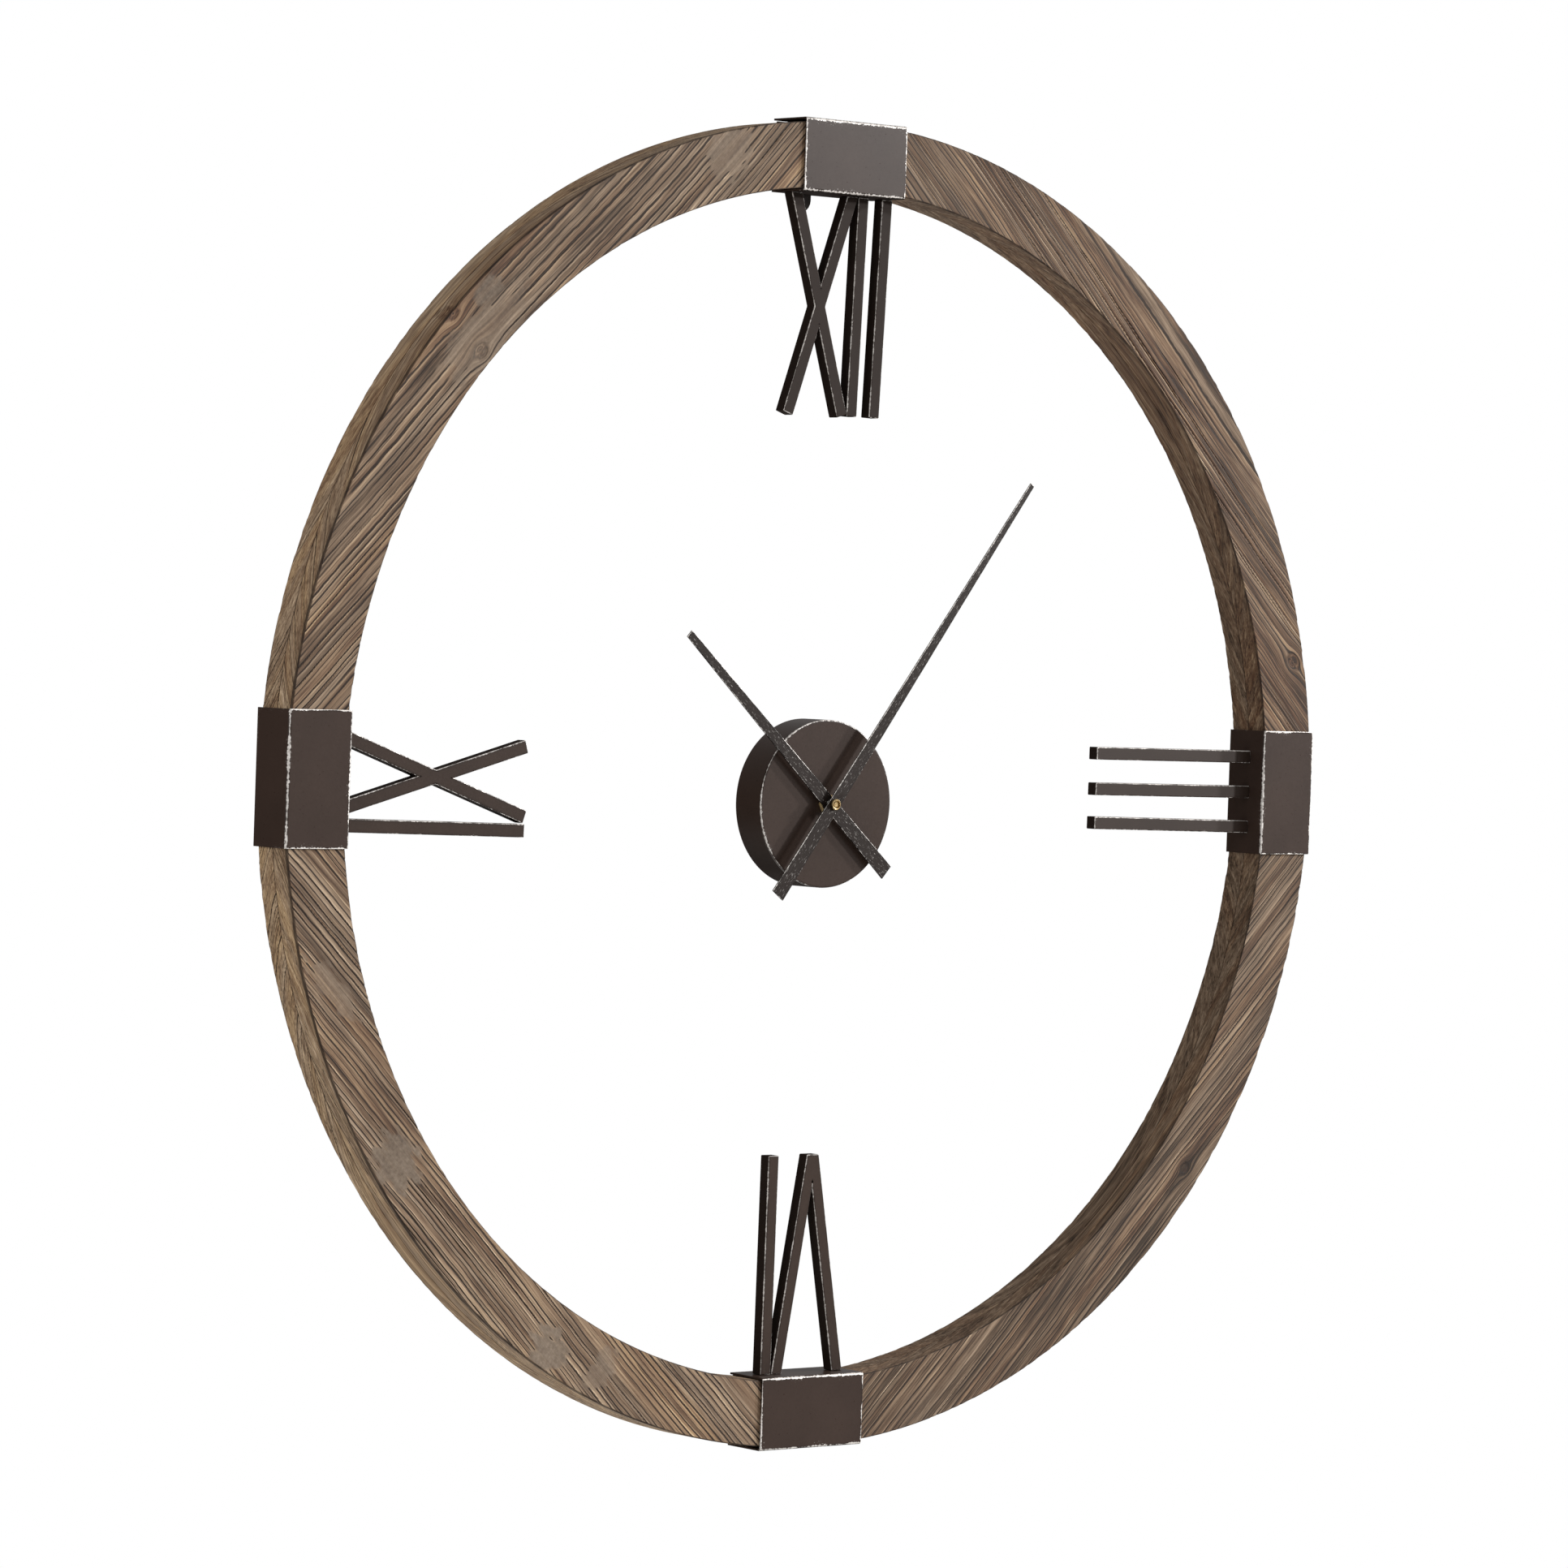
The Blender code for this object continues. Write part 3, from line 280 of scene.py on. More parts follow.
def timber_material():
    """Weathered softwood: growth lines that the mesh numbers, brushed out, with dirt and painted shade
    in the grooves and a painted highlight on the crests, and fibres.
    """
    net, shader = new_material("weathered_timber")
    patch = net.attribute("patch")
    board = net.attribute("board", "Vector")
    fibre = net.noise(board, 1000.0, 4.0, 0.65, DRAWN_OUT)
    streak = net.noise(board, 330.0, 2.0, 0.5, DRAWN_OUT)
    mottle = net.noise(board, 55.0, 3.0, 0.6, (0.3, 1.0, 1.0))
    groove, painted_crest_highlight, own = growth_line_marks(net, board, fibre)
    # each of these swings the tone both ways about nothing
    level = net.attribute("tone")
    for source, swing in ((fibre, 1.20), (streak, 0.75), (mottle, 0.40), (own, 0.16)):
        level = net.math("ADD", level, net.math("MULTIPLY_ADD", source, swing, -swing / 2))
    # painted highlight: the crests lightened as if catching the light
    level = net.math("MULTIPLY_ADD", painted_crest_highlight, 0.34, level)
    colour = net.mix(net.attribute("warm"), net.ramp(level, GREY_WOOD), net.ramp(level, RED_WOOD))
    crumb = net.noise(board, 420.0, 4.0, 0.7)
    filler = net.ramp(net.math("MULTIPLY_ADD", crumb, 0.6, net.times(mottle, 0.4)), FILLER)
    colour = net.mix(net.times(patch, 0.85), colour, filler)
    hairline = net.noise(board, 760.0, 1.0, 0.5, (0.022, 1.0, 1.0))
    hairline = net.times(net.fit(hairline, 0.655, 0.715),
                         net.math("SUBTRACT", 0.8, net.times(patch, 0.8)))
    # painted shadow and dirt that the mesh marks, with hairline cracks; the grooves are darkened with
    # painted shade as well as dirt
    shadow_dirt_and_cracks = net.math("MAXIMUM", net.attribute("dirt_and_painted_shadow"), hairline)
    dark = net.math("MAXIMUM", net.fit(groove, 0.05, 0.26), shadow_dirt_and_cracks)
    colour = net.mix(net.times(dark, 0.93), colour, GROOVE_DIRT_AND_SHADE)
    net.link(colour, shader.inputs["Base Color"])
    net.link(net.math("MULTIPLY_ADD", fibre, 0.22, 0.60), shader.inputs["Roughness"])
    shader.inputs["Specular IOR Level"].default_value = 0.20
    grit = net.noise(board, 1600.0, 2.0, 0.6)
    relief = net.math("MULTIPLY_ADD", fibre, 0.45, net.times(grit, 0.15))
    relief = net.math("SUBTRACT", relief, groove)
    net.link(net.bump(relief, 0.55, 0.3 * MM), shader.inputs["Normal"])
    return net.material


BRONZE = (0.040, 0.0250, 0.0192)
BAR_BRONZE = (0.038, 0.0240, 0.0180)
HAND_BRONZE = (0.020, 0.0138, 0.0112)
BARE_STEEL = [(0.3, (0.40, 0.36, 0.33)), (0.7, (0.80, 0.76, 0.72))]
PAINTED_SHADE_SHARE = 0.30  # share of the colour that is left under painted shade


def shaded(colour, share):
    return tuple(c * share for c in colour)


def paint_material(name, base=BRONZE, gloss=0.29, wear=1.0, speckle=0.0, mirror=0.22):
    """Dark bronze paint, rubbed to bare metal along the edges that the mesh marks, with painted shade
    darkening and dulling the faces it marks as seeing little light.
    """
    net, shader = new_material(name)
    place = net.place()
    edge = net.attribute("edge")  # millimetres to the nearest worn edge
    painted_shade = net.attribute("painted_shade")  # painted shade, on faces that see little light
    broad = net.noise(place, 28.0, 2.0, 0.5)
    fine = net.noise(place, 640.0, 3.0, 0.65)
    chips = net.noise(place, 1250.0, 2.0, 0.6)
    drift = net.noise(place, 60.0, 3.0, 0.6)
    # a thin line of bare metal whose width wanders and now and then breaks
    width = net.times(net.fit(drift, 0.34, 0.62, 0.16 * wear, 0.62 * wear),
                      net.fit(fine, 0.32, 0.64, 0.45, 1.45))
    line = net.rest(net.fit(net.math("DIVIDE", edge, width), 0.8, 1.2))
    # small chips scattered within a few millimetres of the edge
    reach = net.fit(drift, 0.40, 0.66, 0.3, 3.0 * wear)
    near = net.rest(net.fit(net.math("DIVIDE", edge, reach), 0.4, 1.0))
    scatter = net.times(near, net.fit(chips, 0.63, 0.69))
    worn = net.math("MAXIMUM", line, net.times(scatter, 0.7))
    if speckle:
        # fine scratches that run the way a hand was brushed
        brushed = net.noise(net.attribute("rub", "Vector"), 1500.0, 3.0, 0.7, (0.22, 1.0, 1.0))
        worn = net.math("MAXIMUM", worn, net.times(net.fit(brushed, 0.58, 0.70), speckle))
    body = net.ramp(net.math("MULTIPLY_ADD", fine, 0.35, net.times(broad, 0.65)),
                    [(0.25, shaded(base, 0.85)), (0.75, shaded(base, 1.17))])
    # darker beside the bare line, and painted shade: darker on faces that see little light
    halo = net.rest(net.fit(edge, 0.0, 2.0))
    dark = net.math("MAXIMUM", net.times(halo, 0.45), net.times(painted_shade, 0.8))
    body = net.mix(dark, body, shaded(base, PAINTED_SHADE_SHARE))
    net.link(net.mix(worn, body, net.ramp(fine, BARE_STEEL)), shader.inputs["Base Color"])
    net.link(net.fit(worn, 0.0, 1.0, 0.0, 0.3), shader.inputs["Metallic"])
    rough = net.math("MULTIPLY_ADD", fine, 0.08, gloss - 0.04)
    rough = net.math("MULTIPLY_ADD", worn, 0.15, rough)
    net.link(net.math("MULTIPLY_ADD", painted_shade, 0.45, rough, clamp=True), shader.inputs["Roughness"])
    net.link(net.math("MULTIPLY_ADD", painted_shade, -0.7 * mirror, mirror), shader.inputs["Specular IOR Level"])
    relief = net.math("SUBTRACT", net.times(fine, 0.25), worn)
    net.link(net.bump(relief, 0.22, 0.1 * MM), shader.inputs["Normal"])
    return net.material


def metal_material(name, dark, light, roughness, metallic=1.0, streak=(1.0, 1.0, 1.0), depth=0.15):
    """Bare or plated metal, moulded plastic and the like, with fine marks and a slow stain."""
    net, shader = new_material(name)
    place = net.place()
    marks = net.noise(place, 900.0, 3.0, 0.6, streak)
    stain = net.noise(place, 90.0, 2.0, 0.5)
    level = net.math("MULTIPLY_ADD", marks, 0.5, net.times(stain, 0.5))
    net.link(net.ramp(level, [(0.3, dark), (0.7, light)]), shader.inputs["Base Color"])
    shader.inputs["Metallic"].default_value = metallic
    net.link(net.math("MULTIPLY_ADD", marks, 0.24, roughness - 0.12), shader.inputs["Roughness"])
    net.link(net.bump(marks, depth, 0.1 * MM), shader.inputs["Normal"])
    return net.material


# ------------ mesh helpers

SMOOTH = 30.0  # degrees up to which an edge is shaded round


def set_attribute(mesh, key, values):
    """One number or one vector for each vertex, which the materials read by name."""
    values = np.asarray(values, np.float32)
    kind, field = ("FLOAT", "value") if values.ndim == 1 else ("FLOAT_VECTOR", "vector")
    mesh.attributes.new(key, kind, "POINT").data.foreach_set(field, values.ravel())


def read_vertices(mesh, field="co"):
    values = np.empty(len(mesh.vertices) * 3)
    mesh.vertices.foreach_get(field, values)
    return values.reshape(-1, 3)


def add_piece(name, verts, faces, material, body, nodes, attributes, smooth=SMOOTH,
              face_outward=False):
    """A closed mesh piece that rides on a body and stands for CAD nodes."""
    mesh = bpy.data.meshes.new(name)
    mesh.from_pydata(np.asarray(verts, float).tolist(), [], faces)
    if face_outward:
        bm = bmesh.new()
        bm.from_mesh(mesh)
        bmesh.ops.recalc_face_normals(bm, faces=bm.faces)
        bm.to_mesh(mesh)
        bm.free()
    for key, values in attributes.items():
        set_attribute(mesh, key, values)
    return finish_piece(name, mesh, material, body, nodes, smooth)


def finish_piece(name, mesh, material, body, nodes, smooth=SMOOTH):
    mesh.materials.clear()
    mesh.materials.append(material)
    mesh.shade_smooth()
    mesh.set_sharp_from_angle(angle=math.radians(smooth))
    obj = show(name, mesh)
    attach(obj, body)
    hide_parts(*nodes)
    return obj


def cad_points(node):
    return read_vertices(frame["nodes"][node].data)


def loop_faces(rings, around, closed_rings=False):
    """Quads between rings of the same number of points, each ring closed on itself."""
    first = np.arange(rings if closed_rings else rings - 1)
    ring = np.repeat(first, around)
    i = np.tile(np.arange(around), len(first))
    after = (ring + 1) % rings
    following = (i + 1) % around
    return np.stack([ring * around + i, ring * around + following,
                     after * around + following, after * around + i], axis=1).tolist()


def noise(x, y, seed, table_size=128):
    """Smooth noise from 0 to 1 with about one swing a unit."""
    table = np.random.default_rng(seed).random((table_size, table_size))
    x, y = np.broadcast_arrays(np.asarray(x, float), np.asarray(y, float))
    xi, yi = np.floor(x).astype(int), np.floor(y).astype(int)
    fx, fy = x - xi, y - yi
    fx, fy = fx * fx * (3 - 2 * fx), fy * fy * (3 - 2 * fy)
    x0, x1 = xi % table_size, (xi + 1) % table_size
    y0, y1 = yi % table_size, (yi + 1) % table_size
    low = table[x0, y0] * (1 - fx) + table[x1, y0] * fx
    high = table[x0, y1] * (1 - fx) + table[x1, y1] * fx
    return low * (1 - fy) + high * fy


def turned(x, z, degrees):
    """Places on the dial, turned clockwise."""
    angle = math.radians(degrees)
    c, s = math.cos(angle), math.sin(angle)
    return x * c + z * s, z * c - x * s


def step(value, low, high):
    """A smooth step from 0 at low to 1 at high."""
    t = np.clip((value - low) / (high - low), 0, 1)
    return t * t * (3 - 2 * t)


# ------------ timber ring

# All in millimetres. The timber keeps just inside the CAD's own quarters.
RING_OUTER, RING_INNER = 405.6, 365.4
RING_FLAT = 404.9  # planed flat under the sleeves
LAYERS = {"front": (-30.4, -15.42), "back": (-15.38, -0.4)}
TURNS = {"upper_right": 0, "lower_right": 90, "lower_left": 180, "upper_left": 270}
CORNER, SEAM_CORNER, REAR_CORNER = 0.7, 0.2, 0.6  # radii in front, between the layers, behind
HALF_JOINT = 0.15  # half the gap between two quarters
JOINT_SUNK = 0.4  # how much lower a quarter's two ends are

# Each board: distance across the grain from the ring's centre, spacing of the growth lines, and
# how deep they are brushed, all in millimetres.
BOARDS = {
    "upper_right": [(250, 5.0, 0.30), (268, 2.9, 0.50), (300, 3.0, 0.55), (345, 2.7, 0.60),
                    (374, 2.5, 0.62), (383, 3.8, 0.40), (389, 8.0, 0.18), (410, 9.0, 0.16)],
    "lower_right": [(250, 3.4, 0.40), (300, 3.0, 0.46), (350, 3.1, 0.44), (380, 3.2, 0.46),
                    (410, 3.6, 0.40)],
    "lower_left": [(250, 3.0, 0.55), (300, 3.0, 0.58), (350, 2.9, 0.56), (385, 2.7, 0.60),
                   (410, 3.1, 0.52)],
    "upper_left": [(250, 4.5, 0.35), (275, 3.1, 0.55), (310, 3.1, 0.60), (345, 3.5, 0.50),
                   (362, 4.5, 0.38), (372, 3.7, 0.45), (382, 7.0, 0.18), (410, 8.0, 0.16)],
}
TILTS = {"upper_right": (0.9, -1.3), "lower_right": (-1.1, 0.8), "lower_left": (1.4, -0.9),
         "upper_left": (-1.2, 1.1)}
# Lighter or darker than the middle tone, width of the painted shadow behind the front arris in
# millimetres, redness
SHADES = {"upper_right": -0.16, "lower_right": -0.17, "lower_left": -0.01, "upper_left": -0.08}
PAINTED_SHADOW_WIDTHS = {"upper_right": 0.8, "lower_right": 0.3, "lower_left": 1.5, "upper_left": 1.3}
WARMTH = {"upper_right": 0.42, "lower_right": 0.14, "lower_left": 0.40, "upper_left": 0.30}
# Knots: along the grain from the board's middle, across it from the ring's centre, and radius
KNOTS = {
    "upper_right": [(213, 334, 4.5)],
    "lower_right": [(-45, 389, 3.2)],
    "lower_left": [(176, 372, 3.0)],
    "upper_left": [(-19, 374, 4.2), (-19.5, 404.5, 4.0)],
}
# Smooth places: along, across, half length, half width, and how much filler they carry.
# Lengths of both are in millimetres
PATCHES = {
    "upper_right": [(-230, 330, 22, 12, 0.25)],
    "lower_right": [(215, 335, 20, 10, 0.2)],
    "lower_left": [(69, 382, 19, 15, 1.0), (-94, 384, 15, 13, 1.0), (-132, 366, 9, 17, 0.6),
                   (176, 346, 26, 8, 0.6)],
    "upper_left": [(9, 397, 12, 6, 0.9), (-8, 380, 40, 15, 0.5), (200, 338, 20, 14, 0.6)],
}


FIRST_LINE, LAST_LINE = 236.0, 436.0  # across the board, wider than the ring needs
DEEP, SHALLOW, GROOVE_WIDTH = (0.9, 1.35), (0.25, 0.6), (0.26, 0.46)
FULL_DEPTH = 0.42  # a groove this deep is as dark as they get


def growth_lines(board, seed):
    """Where each groove lies across the board, its depth, width and redness."""
    rng = np.random.default_rng(seed)
    marks, spacings, depths = zip(*board)
    at, lines = FIRST_LINE, []
    while at < LAST_LINE:
        at += np.interp(at, marks, spacings) * rng.uniform(0.55, 1.45)
        share = rng.uniform(*DEEP) if rng.random() < 0.5 else rng.uniform(*SHALLOW)
        width, redness = rng.uniform(*GROOVE_WIDTH), rng.random(2)[1]
        lines.append((at, np.interp(at, marks, depths) * share, width, redness))
    return np.array(lines)


def knot_marks(quarter, along, across, depth_in, seed):
    """How far the knots push the grain aside, how much of a knot a point is in, and its rings."""
    push, knot, rings = (np.zeros_like(along) for _ in range(3))
    for k, (ku, kv, radius) in enumerate(KNOTS[quarter]):
        du, dv = (along - ku) / 1.3, across - kv + 0.25 * depth_in
        far = np.hypot(du, dv) + 1e-6
        push += radius * 1.1 * np.exp(-((far / (2.6 * radius)) ** 2)) * dv / far
        ragged = far * (0.85 + 0.3 * noise(np.arctan2(dv, du) * 2.2 + 9, 0.5 + k, seed + 103))
        inside = 1 - step(ragged, radius * 0.75, radius * 1.2)
        knot = np.maximum(knot, inside)
        rings += inside * np.sin(far * 4.2) - 1.6 * np.exp(-(((ragged / radius - 1.05) / 0.16) ** 2))
    return push, knot, rings


def patch_marks(quarter, along, across, grain, seed):
    """How much filler smooths a point, with ragged outlines."""
    patch = np.zeros_like(along)
    for pu, pv, half_long, half_wide, filler in PATCHES[quarter]:
        far = np.hypot((along - pu) / half_long, (across - pv) / half_wide)
        far = far + 0.7 * (noise(along / 7.0, across / 4.0, seed + 105) - 0.5)
        far = far + 0.35 * (noise(along / 3.0, grain / 1.1, seed + 111) - 0.5)
        patch = np.maximum(patch, filler * (1 - step(far, 0.75, 1.15)))
    return patch


def timber_look(along, across, y, quarter, layer):
    """Depth of the surface and what its colours follow, at points of a board in millimetres."""
    seed = 11 + 7 * list(TURNS).index(quarter) + (3 if layer == "back" else 0)
    lines = growth_lines(BOARDS[quarter], seed)
    tilt = TILTS[quarter][layer == "back"]
    depth_in = y - LAYERS[layer][0]
    grain = (across + tilt * depth_in
             + 5.0 * (noise(along / 150 + 3, across / 120, seed + 100) - 0.5)
             + 1.1 * (noise(along / 34, across / 40, seed + 101) - 0.5)
             + 0.35 * (noise(along / 12, across / 8, seed + 112) - 0.5)
             + 3.0 * (noise(along / 60, depth_in / 14, seed + 102) - 0.5) * np.clip(depth_in / 6, 0, 1))
    knot, rings, patch = (np.zeros_like(along) for _ in range(3))
    if layer == "front":
        push, knot, rings = knot_marks(quarter, along, across, depth_in, seed)
        grain = grain - push
        patch = patch_marks(quarter, along, across, grain, seed)
    k = np.clip(np.searchsorted(lines[:, 0], grain), 1, len(lines) - 1)
    since, ahead = grain - lines[k - 1, 0], lines[k, 0] - grain
    part = np.clip(since / (lines[k, 0] - lines[k - 1, 0]), 0, 1)

    def fade(index):
        """A groove comes and goes along the board."""
        slow = noise(along / 80 + index * 3.7, index * 0.61, seed + 104)
        return 0.12 + 0.88 * step(slow, 0.22, 0.52)

    before, after = lines[k - 1, 1] * fade(k - 1), lines[k, 1] * fade(k)
    cut = (before * np.exp(-((since / lines[k - 1, 2]) ** 2))
           + after * np.exp(-((ahead / (0.55 * lines[k, 2])) ** 2)))
    strength = np.clip((before * (1 - part) + after * part) / FULL_DEPTH, 0, 1)
    smooth = np.clip(1.5 * patch, 0, 0.97)
    cut, strength = cut * (1 - smooth) * (1 - 0.6 * knot), strength * (1 - smooth) * (1 - 0.7 * knot)
    sunk = cut + 0.10 * noise(along / 30, grain / 1.1, seed + 106) * (1 - smooth)
    sunk += 0.18 * noise(along / 60, across / 14, seed + 107) + 0.30 * knot
    tone = (0.47 + SHADES[quarter] + 0.24 * (noise(along / 110, grain / 5.5, seed + 108) - 0.5)
            + 0.13 * (noise(along / 26, grain / 0.8, seed + 109) - 0.5)
            + 0.10 * (part - 0.5) - 0.24 * knot + 0.13 * rings)
    warm = WARMTH[quarter] + 0.95 * (noise(along / 190 + 5, grain / 9, seed + 110) - 0.45)
    warm = np.clip(warm + 0.5 * (lines[k, 3] - 0.6) + 0.4 * knot, 0, 1)
    return sunk, {"tone": tone, "warm": warm, "line": k + part, "strength": strength,
                  "patch": patch, "grain": grain}


SIDE, FLAT, ARRIS = 0, 1, 2  # kinds of face on a layer's section


def timber_section(y_front, y_back, face_steps, side_steps, back_steps, front_corner, rear_corner):
    """The section of a layer as rows of radius, y, outward radius, outward y and kind of face."""
    rows = []
    c, b = front_corner, rear_corner

    def run(start, end, normal, count, kind):
        for t in (np.arange(count) + 0.5) / count:
            rows.append((start[0] + (end[0] - start[0]) * t, start[1] + (end[1] - start[1]) * t,
                         *normal, kind))

    def corner(centre, start, size):
        for angle in np.radians(start + np.array([18, 45, 72])):
            rows.append((centre[0] + size * math.cos(angle), centre[1] + size * math.sin(angle),
                         math.cos(angle), math.sin(angle), ARRIS))

    run((RING_INNER + c, y_front), (RING_OUTER - c, y_front), (0, -1), face_steps, FLAT)
    corner((RING_OUTER - c, y_front + c), -90, c)
    run((RING_OUTER, y_front + c), (RING_OUTER, y_back - b), (1, 0), side_steps, SIDE)
    corner((RING_OUTER - b, y_back - b), 0, b)
    run((RING_OUTER - b, y_back), (RING_INNER + b, y_back), (0, 1), back_steps, FLAT)
    corner((RING_INNER + b, y_back - b), 90, b)
    run((RING_INNER, y_back - b), (RING_INNER, y_front + c), (-1, 0), side_steps, SIDE)
    corner((RING_INNER + c, y_front + c), 180, c)
    return np.array(rows).T[:, None, :]


def quarter_angles(fine, coarse):
    """Steps round a quarter, short where the grain runs across the ring."""
    angles, at = [0.0], 0.0
    while at < math.pi / 2:
        slope = abs(math.sin(at - math.pi / 4))
        at += min(max(fine / max(slope, 0.01), fine), coarse) / RING_OUTER
        angles.append(min(at, math.pi / 2))
    return np.array(angles)


MIDDLE_TONE = 0.42
SIDE_QUIET = 0.45  # how much of the tone's swing the sides keep
SIDE_PAINTED_LIGHT = (0.22, 0.06)  # painted light: outer and inner sides lighter than the front, the outer ones more
SIDE_LINES = (0.26, 0.13)  # and how strong the growth lines are there
SIDE_REDNESS = (0.30, 0.0)


def quarter_dirt_and_painted_shadow(quarter, section, angle, seed):
    """Painted shadow with dirt along the arrises, painted shadow on the sides behind the front ones, and
    a faint dark line between the layers.
    """
    radius, y, _, _, kind = section
    y_front = LAYERS["front"][0]
    # painted shadow with dirt along the arrises, fainter at the seam between the layers
    amount = 0.5 + 0.45 * (0.25 + 0.75 * step(noise(angle * 55, radius / 30, seed + 1), 0.35, 0.65))
    seam = np.abs(y - LAYERS["back"][0]) < 1.0
    dirt_and_painted_shadow = np.where(kind == ARRIS, amount * np.where(seam, 0.30, 1.0), 0)
    # painted shadow on the sides just behind the front arris, dark near it and fading over a few
    # millimetres
    reach = PAINTED_SHADOW_WIDTHS[quarter] * (0.5 + 1.6 * noise(angle * 40, angle * 9 + radius, seed + 2))
    past = np.abs(y - y_front - CORNER)
    shadow = np.maximum(0.95 * (1 - step(past, 0.5 * reach, 0.5 * reach + 0.9)),
                        0.30 * (1 - step(past, 0, 6)))
    on_front_layer = (kind == SIDE) & (y < LAYERS["front"][1])
    return np.maximum(dirt_and_painted_shadow, min(PAINTED_SHADOW_WIDTHS[quarter], 1.0) * np.where(on_front_layer, shadow, 0))


def timber_quarter(quarter, layer, material):
    """One layer of a quarter, its surface sunk and coloured along the growth lines."""
    y_front, y_back = LAYERS[layer]
    if layer == "front":
        section = timber_section(y_front, y_back, 84, 20, 8, CORNER, SEAM_CORNER)
        angles = quarter_angles(0.62, 1.9)
    else:
        section = timber_section(y_front, y_back, 8, 20, 40, SEAM_CORNER, REAR_CORNER)
        angles = quarter_angles(1.2, 2.6)
    radius, y, outward, outward_y, kind = section
    angle = angles[:, None]
    x, z = radius * np.sin(angle), radius * np.cos(angle)
    along, across = (x - z) / math.sqrt(2), (x + z) / math.sqrt(2)
    sunk, look = timber_look(along, across, y + 0 * x, quarter, layer)
    seed = 500 + 13 * list(TURNS).index(quarter)
    chip = step(noise(angle * 75, radius / 9, seed), 0.55, 0.95)
    lowered = sunk * np.select([kind == FLAT, kind == SIDE], [1.0, 0.40], 0.75)
    lowered += np.where(kind == ARRIS, 0.5 * chip, 0)
    lowered[[0, -1], :] = JOINT_SUNK
    at, y_at = radius - outward * lowered, y - outward_y * lowered
    x, z = np.clip(at * np.sin(angle), HALF_JOINT, RING_FLAT - 0.1), at * np.cos(angle)
    z = np.clip(z, HALF_JOINT, RING_FLAT - 0.1)
    x, z = turned(x, z, TURNS[quarter])
    verts = np.stack([x, y_at, z], axis=-1).reshape(-1, 3) * MM
    around, last = radius.size, len(angles) - 1
    caps = [list(range(around))[::-1], list(range(last * around, (last + 1) * around))]
    faces = loop_faces(len(angles), around) + caps
    outer, middle = outward > 0, MIDDLE_TONE + SHADES[quarter]
    tone = middle + np.where(kind == SIDE, SIDE_QUIET, 1.0) * (look["tone"] - middle)
    # painted light on the sides
    side_painted_light, redder = ((kind == SIDE) * np.where(outer, *pair) for pair in (SIDE_PAINTED_LIGHT, SIDE_REDNESS))
    attributes = {"tone": tone + side_painted_light, "warm": np.clip(look["warm"] + redder, 0, 1),
                  "line": look["line"], "patch": look["patch"] * (kind == FLAT),
                  "strength": look["strength"] * np.where(kind == FLAT, 1,
                                                          np.where(outer, *SIDE_LINES)),
                  "dirt_and_painted_shadow": quarter_dirt_and_painted_shadow(quarter, section, angle, seed)}
    attributes = {key: (value + 0 * x).ravel() for key, value in attributes.items()}
    attributes["board"] = np.stack([along, look["grain"], y_at], axis=-1).reshape(-1, 3) * MM
    return add_piece(f"timber_{layer}_{quarter}", verts, faces, material, "root",
                     [f"ring_{layer}_{quarter}"], attributes, smooth=40.0)


# ------------ metal made from CAD shapes

GRADED = (0.25, 0.6, 1.1, 1.9, 3.2)  # millimetres in from a worn edge
UNWORN = 50.0  # an edge distance at which nothing is worn


def wear_delay(outward):
    """Millimetres by which an edge facing that way is less worn: least on top and on the left."""
    return float(np.clip(0.08 - 0.16 * (0.75 * outward[2] - 0.65 * outward[0]), 0.0, 0.25))


def painted_shade_below(up):
    """How much painted shade a face gets whose outward direction rises that much: faces turned down are
    darkened.
    """
    return np.clip(-1.3 * up, 0, 1)


def edge_distance(points, segments, delays):
    """From each point to the nearest of some straight segments, plus that segment's delay."""
    best = np.full(len(points), UNWORN)
    for (a, b), delay in zip(segments, delays):
        d = b - a
        t = np.clip((points - a) @ d / max(d @ d, 1e-18), 0, 1)
        best = np.minimum(best, np.linalg.norm(points - a - t[:, None] * d, axis=1) / MM + delay)
    return best


def worn_edges(bm, edges, behind):
    """The ends of each edge, and its delay: the edges away from the front are less worn."""
    nearest = min(v.co.y for v in bm.verts) + 0.5 * MM
    marks, delays = [], []
    for edge in edges:
        on_front = all(v.co.y < nearest for v in edge.verts)
        outward = sum((f.normal for f in edge.link_faces), Vector())
        outward.y = 0
        outward = outward.normalized() if outward.length > 0.1 else Vector((0, 0, 0))
        marks.append([tuple(v.co) for v in edge.verts])
        delays.append(wear_delay(outward) + (0 if on_front else behind))
    return np.array(marks), delays


